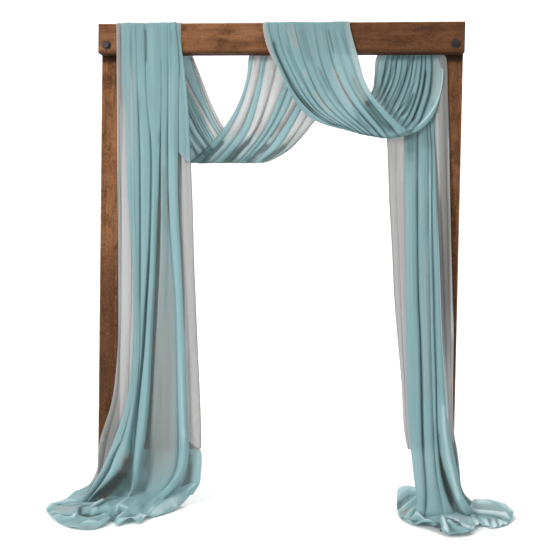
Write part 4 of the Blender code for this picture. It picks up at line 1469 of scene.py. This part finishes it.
def swagTwoStrips(wanted):
    lines = swagTwoLines()
    marks = (0, 0.62) if wanted else swagTwo["marks"]
    made = []
    for mark in marks:
        k = min(int(mark), len(lines) - 2)
        share = mark - k
        made.append(np.array(lines[k]) * (1 - share) + np.array(lines[k + 1]) * share)
    shape = np.array((0, 0, 0, 0, 0, 2, 4, 6, 7, 8, 10, 10, 8, 0, -8, -10, -10, -8, -4, 0, 0, 0, 0))
    grooves = [list(shape * swagTwo["deep"].get(index, 0.25)) for index in range(1, len(marks) - 1)]
    if wanted:
        outward = np.interp(range(len(made[0])), (0, 5, 6, 7, 8), (2.6, 2.6, 2.6, 1.8, -2.0))
        made[0][:, 0] -= outward * 0.0053
        for line in made:
            line[:14, 1] += 0.003
    strip = pleat(
        made, swagTwo["bulge"], grooves or 0.0, perFold=16, spacing=0.007, lean=0.4, ripple=1.4, tucks=1.3,
        tuckWidth=0.017, seed=31 + int(wanted),
    )
    if wanted:
        shade(strip, (0.3,) * 5 + (0.3, 0.2, 0.2, 0, -0.4, -0.8, -0.9, -1, -1) + (-1,) * 9, "tone")
        return [strip]
    # the relief's painted shade and highlight are weaker at the top, and the swag is painted a little
    # darker all over
    soft = overStations(strip, (0.25,) * 5 + (0.3, 0.35, 0.45, 0.65, 0.85) + (1,) * 13)
    strip["ridge"] = strip["ridge"] * soft[:, None] - 0.12
    for line in swagTwo["paint"]:
        streak(strip, *line)
    return [strip]


swagTwoTurquoise = buildCloth("swag_2_cloth", swagTwoStrips(False), turquoise)
swagTwoPale = buildCloth("swag_2_pale_cloth", swagTwoStrips(True), brightPale)
print("second swag hung")


# Right fall
rightRows = (57, 100, 137, 160, 200, 250, 300, 330, 380, 430)
rightFall = {
    "folds": (
        (394, 400, 404, 404.5, 405, 405.5, 405.5, 406, 406.5, 408.5),
        (409, 415, 417.5, 417.5, 417, 417.5, 418.5, 420, 421.5, 422.5),
        (416, 423, 428, 428.5, 428.5, 429.5, 430.5, 431, 432, 433.5),
        (420, 426, 431, 432, 431.8, 432.8, 434.2, 434.8, 436.3, 437.5),
        (421, 427, 432, 433, 432.6, 433.5, 435, 435.6, 437, 438.2),
        (436, 436, 435, 436, 437.5, 439.5, 441, 442, 445, 449.5),
    ),
    "depths": (0.122, 0.108, 0.085, 0.065, 0.030, 0.010, 0.0, -0.002, -0.006, -0.016),
    "floor": (
        ((411, 455, -0.03), (413, 475, -0.05), (415, 490, -0.06), (416, 503, -0.08), (414, 513, -0.10)),
        ((423.5, 455, -0.03), (425, 475, -0.05), (426, 490, -0.07), (426, 504, -0.09), (425, 514, -0.12)),
        (
            (434.5, 455, -0.03), (436.5, 475, -0.05), (439, 490, -0.07), (441.5, 504, -0.09),
            (443.5, 515, -0.12),
        ),
        ((439, 455, -0.03), (440.5, 472, -0.05), (443.5, 487, -0.06), (448, 500, -0.08), (453, 512, -0.10)),
        ((441, 455, -0.03), (447, 475, -0.05), (452, 489, -0.06), (458, 502, -0.08), (464, 513, -0.10)),
        ((454, 455, -0.01), (457.5, 473, -0.02), (459.5, 487, -0.03), (464, 499, -0.04), (471, 508, -0.06)),
    ),
    "ends": (
        (411, 519, 0.006), (425, 521, 0.006), (446, 523, 0.006), (457, 520, 0.006), (468, 518, 0.006),
        (478, 513, 0.006),
    ),
    "bulge": (
        (3, 3, 3, 4, 5, 10, 12, 14, 15, 16, 16, 16, 18, 20, 22, 24, 22, 12, 4),
        (3, 3, 3, 4, 5, 8, 10, 11, 11, 11, 11, 12, 13, 15, 16, 18, 18, 12, 4),
        (1, 1, 1, 2, 2, 3, 3, 4, 4, 5, 5, 5, 6, 7, 7, 8, 8, 6, 3),
        (0, 0, 0, -1, -1, -2, -2, -3, -3, -3, -3, -5, -8, -16, -30, -34, -30, -14, 0),
        (3, 3, 3, 4, 5, 7, 8, 10, 11, 11, 12, 14, 18, 24, 26, 28, 28, 20, 5),
    ),
    "groove": (
        (0, 0, 0, 1, 1, 2, 2, 3, 5, 6, 7, 7, 7, 7, 6, 4, 3, 0, 0),
        (0, 0, 0, 1, 2, 3, 3, 2, 2, 3, 3, 4, 5, 5, 5, 4, 3, 0, 0),
        (0, 0, 0, 1, 2, 3, 4, 5, 5, 5, 5, 6, 8, 6, 4, 4, 3, 0, 0),
        (0, 0, 0, 0, 0, 0, 0, 0, 0, 0, 0, 0, 0, 0, 0, 0, 0, 0, 0),
    ),
    # painted shadow under the second swag at the top, painted shade in the creases and painted highlights
    # along the edges, some as tone lines
    "paint": (
        (((411, 108), (411, 126), (411, 140), (411, 155)), 7.5, -0.40),
        (((411, 108), (411, 130), (411, 146), (411, 163)), 7.5, -0.30),
        (((411, 108), (411, 134), (411, 152), (411, 173)), 7.0, -0.25),
        (((427, 98), (427, 118), (427, 132), (427, 150)), 7.5, -0.50),
        (
            ((417, 180), (417.5, 240), (418.5, 300), (420, 340), (421.5, 390), (422.5, 430), (424, 455)),
            2.0, -0.45,
        ),
        (((415, 160), (414.5, 240), (416, 320)), 2.5, -0.25),
        (((420.5, 165), (421, 215)), 1.0, 0.4),
        (
            ((430, 168), (430.5, 210), (429.3, 250), (431, 300), (431.5, 330), (432.5, 380), (434, 425)),
            0.9, 1.3,
        ),
        (((427.5, 195), (427.5, 240)), 1.0, -0.45),
        (((437.3, 190), (438.8, 250), (440.6, 300), (442, 335), (444.8, 380), (448.5, 425)), 0.9, 1.7),
        (((425, 240), (426, 330), (427.5, 400)), 3.5, 0.40, "tone"),
        (((422, 180), (423, 230)), 3.0, 0.25, "tone"),
        (((434, 440), (437, 475), (441, 500), (443, 512)), 1.0, 0.6),
        (((429, 430), (431, 470), (434, 500)), 1.2, -0.4),
        (((438.5, 428), (440, 455), (443, 474)), 1.5, -1.2),
        (((440, 455), (443, 474), (448, 490), (453, 505)), 2.6, -0.8, "tone"),
        (((443, 470), (448, 486), (453, 501), (459, 513)), 2.4, -1.1),
        (((443, 400), (444.5, 432), (448.5, 460), (454, 482), (460, 503)), 3.2, 1.0),
        (((416, 440), (419, 480), (420, 505)), 4.5, -0.30),
        (((454, 440), (457, 455), (457.5, 470)), 1.5, -0.7),
    ),
}


def rightHead(line):
    # the top of a fold line, gathered over the hooks
    reach, top = hookTop(line[0], 0.12, 2.402)
    return [
        np.array((reach, 0.092, top - 0.004)),
        np.array((reach, 0.106, top)),
        np.array((reach, 0.118, top - 0.02)),
    ]


def rightFolds():
    lines = []
    for across, floor, end in zip(rightFall["folds"], rightFall["floor"], rightFall["ends"]):
        line = hang(rightRows, across, rightFall["depths"])
        line += [at(*place) for place in floor] + [low(*end)]
        lines.append(rightHead(line) + line)
    strip = pleat(
        lines, rightFall["bulge"], rightFall["groove"], perFold=22, tucks=2.4, tuckWidth=0.018, seed=41,
    )
    # painted a little darker all over
    strip["ridge"] = strip["ridge"] - 0.12
    for line in rightFall["paint"]:
        streak(strip, *line)
    return strip


rightPuddle = {
    # strength of the painted highlights
    "highlightGain": 1.3,
    "edge": (
        (424, 509), (414, 508.5), (405, 508), (399, 508), (396.5, 511), (398, 515),
        (403, 520.5), (412, 525), (424, 528), (437, 532.5), (448, 536.5), (460, 536.5),
        (471, 534.5), (478, 528), (483, 526), (491, 528.5), (500, 527), (508, 524.5),
        (513, 519), (513.5, 515), (508, 512), (495, 511.5), (480, 512), (466, 513),
    ),
    "root": (
        (428, 500, 0.060), (424, 500, 0.065), (421, 500, 0.070), (418, 501, 0.070), (417, 503, 0.065),
        (417, 506, 0.055),
        (419, 508, 0.050), (424, 510, 0.045), (430, 511, 0.045), (438, 511, 0.050), (446, 511, 0.050),
        (454, 511, 0.050),
        (461, 511, 0.045), (466, 510, 0.045), (470, 509, 0.045), (474, 508, 0.045), (478, 507.5, 0.045),
        (482, 507, 0.045),
        (485, 506, 0.050), (484, 505, 0.055), (480, 504, 0.060), (474, 503.5, 0.060), (467, 503, 0.060),
        (460, 502, 0.060),
    ),
    "ridges": (
        (((443, 515, 0.065), (446, 524, 0.050), (449, 533, 0.016)), 0.020, 1.0),
        (((449, 518, 0.060), (460, 523.5, 0.050), (471, 528, 0.034), (478, 524, 0.030)), 0.017, 1.0),
        (((452, 534, 0.016), (464, 534, 0.018), (473, 531, 0.016)), 0.026, 1.1),
        (((418, 512, 0.055), (427, 518, 0.050), (437, 526, 0.036), (443, 532, 0.016)), 0.022, 1.0),
        (((408, 523, 0.014), (420, 526, 0.016), (432, 530, 0.016)), 0.022, 1.1),
        (
            (
                (417, 487, 0.137), (411, 485.5, 0.136), (404, 485.5, 0.132), (399, 487, 0.122),
                (397, 493, 0.086), (396.5, 500, 0.046),
            ),
            0.032, 1.2,
        ),
        (((416, 498, 0.090), (407, 503, 0.062), (400, 509, 0.032)), 0.020, 1.0),
        (((417, 506, 0.065), (409, 512, 0.044), (403, 517, 0.022)), 0.018, 1.0),
        (((418, 511, 0.055), (411, 518, 0.028)), 0.016, 1.0),
        (
            (
                (460, 499.5, 0.090), (470, 499, 0.090), (482, 499.5, 0.088), (495, 501, 0.083),
                (506, 504.5, 0.068), (511.5, 510, 0.042),
            ),
            0.036, 1.2,
        ),
        (((466, 509, 0.055), (485, 510, 0.052), (505, 513, 0.038)), 0.024, 1.1),
        (((473, 516, 0.035), (478, 522, 0.028), (480, 527, 0.012)), 0.016, 1.0),
        (((486, 520, 0.026), (489, 526, 0.012)), 0.010, 1.0),
        (((493, 520, 0.026), (496, 526, 0.012)), 0.010, 1.0),
        (((500, 520, 0.024), (503, 525, 0.012)), 0.010, 1.0),
    ),
    "hollows": (
        (((450, 524, 0.02), (460, 528.5, 0.02), (470, 531, 0.015)), 0.022, 0.7),
        (((411, 521.5, 0.01), (424, 522.5, 0.02), (434, 525, 0.02)), 0.010, 0.6),
        (((415, 494, 0.07), (405, 498, 0.05), (398, 504, 0.03)), 0.012, 0.6),
        (((463, 515, 0.02), (478, 517, 0.02), (500, 519, 0.015), (510, 522, 0.01)), 0.012, 0.75),
        (((489, 520, 0.018), (492, 527, 0.008)), 0.007, 0.5),
        (((496.5, 520, 0.018), (499, 526, 0.008)), 0.007, 0.5),
    ),
    # painted shade in the hollows and painted highlights on the folds of the puddle, with lines of the
    # paler second colour
    "paint": (
        (((442, 516), (445, 524), (449, 534)), 1.5, 0.7),
        (((448, 518), (460, 524), (472, 528), (479, 523)), 1.4, 0.9),
        (((449, 522), (459, 528), (471, 531)), 2.0, -0.75),
        (((431, 519), (440, 527), (447, 535)), 1.4, -0.8),
        (((411, 521.5), (424, 522), (433, 524)), 1.1, -1.0),
        (((415, 494), (405, 498), (398, 504)), 1.3, -1.0),
        (((416, 500), (408, 508), (404, 515)), 1.0, -0.5),
        (((400, 487), (411, 487)), 2.0, 0.2),
        (((402, 508), (406, 515), (412, 520)), 3.0, 0.5, "tone"),
        (((403, 493), (408, 492)), 2.0, 0.4, "tone"),
        (((463, 514), (472, 516), (486, 517), (500, 518.5), (509, 521)), 1.1, -1.0),
        (((468, 508), (484, 507), (500, 508)), 1.0, -0.5),
        (((462, 503), (480, 503), (500, 505)), 3.0, 0.7, "tone"),
        (((462, 501), (478, 501.5), (494, 503)), 1.4, 0.6),
        (((467, 511), (487, 513), (508, 515)), 2.5, 0.35),
        (((473, 516), (478, 523)), 1.2, -0.8),
        (((480, 517), (482, 526), (500, 524), (508, 523)), 3.0, 0.7),
        (((487, 522), (491, 528)), 0.8, -1.2),
        (((495.5, 521), (499, 526)), 0.8, -1.2),
        (((405, 525), (420, 528), (436, 533)), 2.4, 0.5),
        (((455, 534), (470, 533)), 2.0, 0.6),
        (((453, 516), (465, 519), (476, 521)), 2.2, 0.7, "tone"),
        (((465, 505), (480, 507), (495, 509), (508, 512)), 6.0, 0.45, "tone"),
        (((470, 522), (482, 524), (496, 524), (506, 521)), 4.0, 0.7, "tone"),
        (((400, 494), (401, 504), (407, 514)), 4.0, 0.45, "tone"),
        (((458, 503), (470, 505), (484, 507), (498, 509), (512, 513)), 6.0, 0.6),
        (((466, 520), (480, 524), (494, 525), (508, 521)), 4.0, 0.7),
        (((396, 500), (400, 510), (409, 518)), 3.0, -0.45),
    ),
}


def rightPuddleStrip():
    strip = puddle(
        rightPuddle["edge"], rightPuddle["root"], rightPuddle["ridges"], rightPuddle["hollows"], seed=62,
    )
    # painted light over the whole puddle; below, the painted highlight lines are made stronger
    strip["ridge"] = strip["ridge"] + 0.45
    for places, width, amount, *kind in rightPuddle["paint"]:
        if amount > 0 and not kind:
            amount *= rightPuddle["highlightGain"]
        streak(strip, places, width, amount, *kind)
    return strip


rightPale = {
    "left": (
        (380, 384, 386.8, 387.8, 389.3, 392.3, 394.7, 397, 401.2, 404),
        (387, 391, 395, 396, 397, 399, 401, 402, 404.5, 407),
        (396, 402, 407, 408, 408, 408, 409, 410, 411, 412),
    ),
    "right": (
        (432, 433, 433, 434, 436, 438, 439.5, 440, 443, 447),
        (440, 440, 440, 440.3, 440.7, 441.5, 443.5, 444, 447, 450.5),
        (443.6, 444.6, 445.5, 446, 447, 448, 449.5, 450, 451, 452.5),
        (446, 448, 449.3, 449.8, 450.5, 451.8, 453.5, 454.5, 453.5, 453.8),
    ),
    "leftDepths": (0.132, 0.120, 0.100, 0.080, 0.050, 0.030, 0.020, 0.018, 0.014, 0.004),
    "rightDepths": (
        (0.118, 0.116, 0.106, 0.090, 0.062, 0.044, 0.036, 0.036, 0.030, 0.020),
        (0.066, 0.065, 0.063, 0.060, 0.050, 0.040, 0.036, 0.036, 0.030, 0.020),
        (0.064, 0.062, 0.058, 0.054, 0.046, 0.040, 0.036, 0.036, 0.030, 0.020),
        (0.064, 0.062, 0.058, 0.054, 0.046, 0.040, 0.036, 0.036, 0.030, 0.020),
    ),
}


def rightPaleBack(first):
    # the part behind the turquoise joins the two sides that show
    last = hang(rightRows, rightPale["right"][0], rightPale["rightDepths"][0])
    last = [place + (0.06, 0, 0) for place in first[:3]] + last
    return last + [at(449.5, 449, 0.012)]


def rightPaleStrips():
    lines = []
    for across in rightPale["left"]:
        line = hang(rightRows, across, rightPale["leftDepths"]) + [
            at(across[-1] * 0.55 + 185.2, 449, 0.002)
        ]
        lines.append(rightHead(line) + line)
    left = pleat(lines, (2, 3, 4, 6, 6, 6, 6), perFold=12, spacing=0.009, ripple=2.2, tucks=3, seed=51)
    sideEdges(left, 0.004, right=False, foot=True)
    shade(left, (0,) * 8 + (0, 0, 0, 0.4, 0.6, 0.6), "tone")
    # painted shade lines and a painted highlight line
    streak(left, ((391, 140), (392, 165)), 1.2, -0.5)
    streak(left, ((396.5, 138), (397, 170)), 1.4, -0.6)
    streak(left, ((401.5, 138), (402, 180)), 2.0, 0.5)
    middle = np.array(lines[2]), np.array(rightPaleBack(lines[2]))
    lines = []
    floor = (
        ((450, 450, 0.01), (454, 470, 0.0), (456, 485, -0.005), (460, 498, -0.01), (468, 508, -0.02)),
        ((453.5, 450, 0.01), (456, 470, 0.0), (458, 485, -0.005), (461.5, 496, -0.01), (470, 506, -0.02)),
        ((455.5, 450, 0.01), (457.7, 470, 0.0), (459.3, 485, -0.005), (463, 495, -0.01), (471, 504, -0.02)),
        ((456.8, 450, 0.01), (459, 470, 0.0), (460.4, 485, -0.005), (464, 494, -0.01), (472, 502, -0.02)),
    )
    for across, depths, places in zip(rightPale["right"], rightPale["rightDepths"], floor):
        line = hang(rightRows, across, depths) + [at(*place) for place in places]
        x, y = line[0][0], max(line[0][1], 0.082)
        near = line[0][1]
        head = [
            np.array((x - 0.060, y + 0.018, 2.375)), np.array((x - 0.045, y + 0.008, 2.33)),
            np.array((x - 0.012, near, 2.293)),
        ]
        lines.append(head + line)
    right = pleat(lines, (2, 3, 4, 5, 5, 5, 5), perFold=10, spacing=0.009, ripple=2.2, tucks=2, seed=52)
    sideEdges(right, 0.005, left=False)
    # the tone makes the lower rows paler and the foot its other colour; the ridge rows paint the upper part
    # darker and the lower rows much lighter, as painted shade and painted highlight
    shade(right, (0,) * 9 + (0, 0.2, 1.0, 1.0, -0.4, -1, -1, -1, -1), "tone")
    shade(right, (0.3,) * 13 + (0.8, 1, 1, 1, 1), "dense")
    shade(right, (-0.2,) * 6 + (-0.3, -0.4, -0.4, -0.3, 0.3, 2.0, 2.0, 0.3) + (0,) * 4)
    # painted highlight lines down the edges, and painted shade lines
    streak(right, ((436.8, 108), (437.5, 130), (438, 160), (438.8, 200)), 1.8, 1.8)
    streak(
        right, ((448.4, 130), (449, 185), (450.6, 220), (451.2, 250), (451.5, 300), (452.5, 340)), 1.1, 1.8,
    )
    streak(right, ((446.5, 130), (447.2, 200), (448.5, 250), (448, 320)), 1.0, -0.4)
    streak(right, ((453, 444), (456, 456), (456.5, 468)), 1.6, -0.8)
    middleLines = [middle[0], (middle[0] + middle[1]) / 2 + (0, 0.012, 0), middle[1]]
    between = pleat(middleLines, (3, 4, 6, 8, 8), perFold=12, spacing=0.009, ripple=2.2, tucks=3, seed=53)
    sideEdges(between, 0.004, left=False, right=False, foot=True)
    return [left, right, between]


turquoiseRight = buildCloth("right_fall_cloth", [rightFolds(), rightPuddleStrip()], turquoise)
paleRight = buildCloth("right_pale_cloth", rightPaleStrips(), pale)
print("right fall hung")

beam = ["header_beam"]
hookNodes = ["cloth_hook_1", "cloth_hook_2"]
clothPieces = (
    (
        turquoiseLeft, "turquoise_chiffon", (0.70, 3.1), "hung", beam,
        ["left_fall", "left_beam_wrap", "left_puddle"],
    ),
    (paleLeft, "pale_chiffon", (0.45, 2.4), "hung", beam, ["left_fall_underlay"]),
    (
        swagOneTurquoise, "turquoise_chiffon", (0.23, 1.7), "draped", beam,
        ["swag_1_left_leg", "swag_1_right_leg", "swag_1_belly"],
    ),
    (swagOnePaleCloth, "pale_chiffon", (0.19, 1.7), "draped", beam, []),
    (
        swagTwoTurquoise, "turquoise_chiffon", (0.45, 1.5), "draped", beam + hookNodes,
        ["centre_beam_wrap", "swag_2_front", "swag_2_belly", "swag_2_back_leg"],
    ),
    (swagTwoPale, "pale_chiffon", (0.022, 1.5), "draped", beam + hookNodes, []),
    (turquoiseRight, "turquoise_chiffon", (0.36, 2.7), "hung", hookNodes, ["right_fall", "right_puddle"]),
    (paleRight, "pale_chiffon", (0.26, 2.5), "hung", hookNodes, ["right_fall_underlay"]),
)
for piece, slotName, flatSize, held, restsOn, replaced in clothPieces:
    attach(piece, "root")
    if replaced:
        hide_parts(*replaced)


# Floor, backdrop and light
studio = {
    "floor": rgb(0.90, 0.90, 0.895),
    "world": rgb(1.0, 1.0, 1.0),
    "worldStrength": 0.50,
    "near": -9.0,
    "bend": 5.0,
    "radius": 3.0,
    "height": 9.0,
    "half": 11.0,
    "steps": 12,
    "lights": (
        ("key", (-3.9, -4.6, 3.3), (0, 0, 1.2), (1.5, 1.5), 285),
        ("fill", (3.8, -3.4, 2.2), (0, 0, 1.2), (2.6, 2.6), 36),
        ("top", (0, 0.2, 5.6), (0, 0, 0), (5.0, 4.0), 150),
        ("backWash", (0, 3.4, 6.6), (0, 7.5, 1.0), (14.0, 1.5), 420),
    ),
}


def addStudio():
    material, wire = startMaterial("studio_floor")
    surface = wire.node(
        "ShaderNodeBsdfPrincipled",
        inputs={"Base Color": studio["floor"], "Roughness": 0.9, "Specular IOR Level": 0.1},
    )
    finishMaterial(wire, surface)
    bm = bmesh.new()
    bend, radius = studio["bend"], studio["radius"]
    profile = [(studio["near"], 0.0)]
    for step in range(studio["steps"] + 1):
        angle = pi / 2 * step / studio["steps"]
        profile.append((bend + radius * sin(angle), radius - radius * cos(angle)))
    profile.append((bend + radius, studio["height"]))
    sides = (-studio["half"], studio["half"])
    rows = [[bm.verts.new((x, y, z)) for y, z in profile] for x in sides]
    for i in range(len(profile) - 1):
        bm.faces.new((rows[0][i], rows[1][i], rows[1][i + 1], rows[0][i + 1]))
    mesh = bpy.data.meshes.new("floor")
    bm.to_mesh(mesh)
    bm.free()
    mesh.shade_smooth()
    mesh.materials.append(material)
    floor = bpy.data.objects.new("floor", mesh)
    bpy.context.scene.collection.objects.link(floor)

    world = bpy.data.worlds.new("World")
    bpy.context.scene.world = world
    world.use_nodes = True
    back = world.node_tree.nodes["Background"]
    back.inputs["Color"].default_value = studio["world"]
    back.inputs["Strength"].default_value = studio["worldStrength"]


def addLight(name, place, target, size, power):
    data = bpy.data.lights.new(name, "AREA")
    data.shape = "RECTANGLE"
    data.size, data.size_y = size
    data.energy = power
    lamp = bpy.data.objects.new(name, data)
    lamp.location = place
    aim = Vector(target) - Vector(place)
    lamp.rotation_euler = aim.to_track_quat("-Z", "Y").to_euler()
    bpy.context.scene.collection.objects.link(lamp)


addStudio()
for light in studio["lights"]:
    addLight(*light)
bpy.context.scene.view_settings.view_transform = "Standard"
print("studio lit")
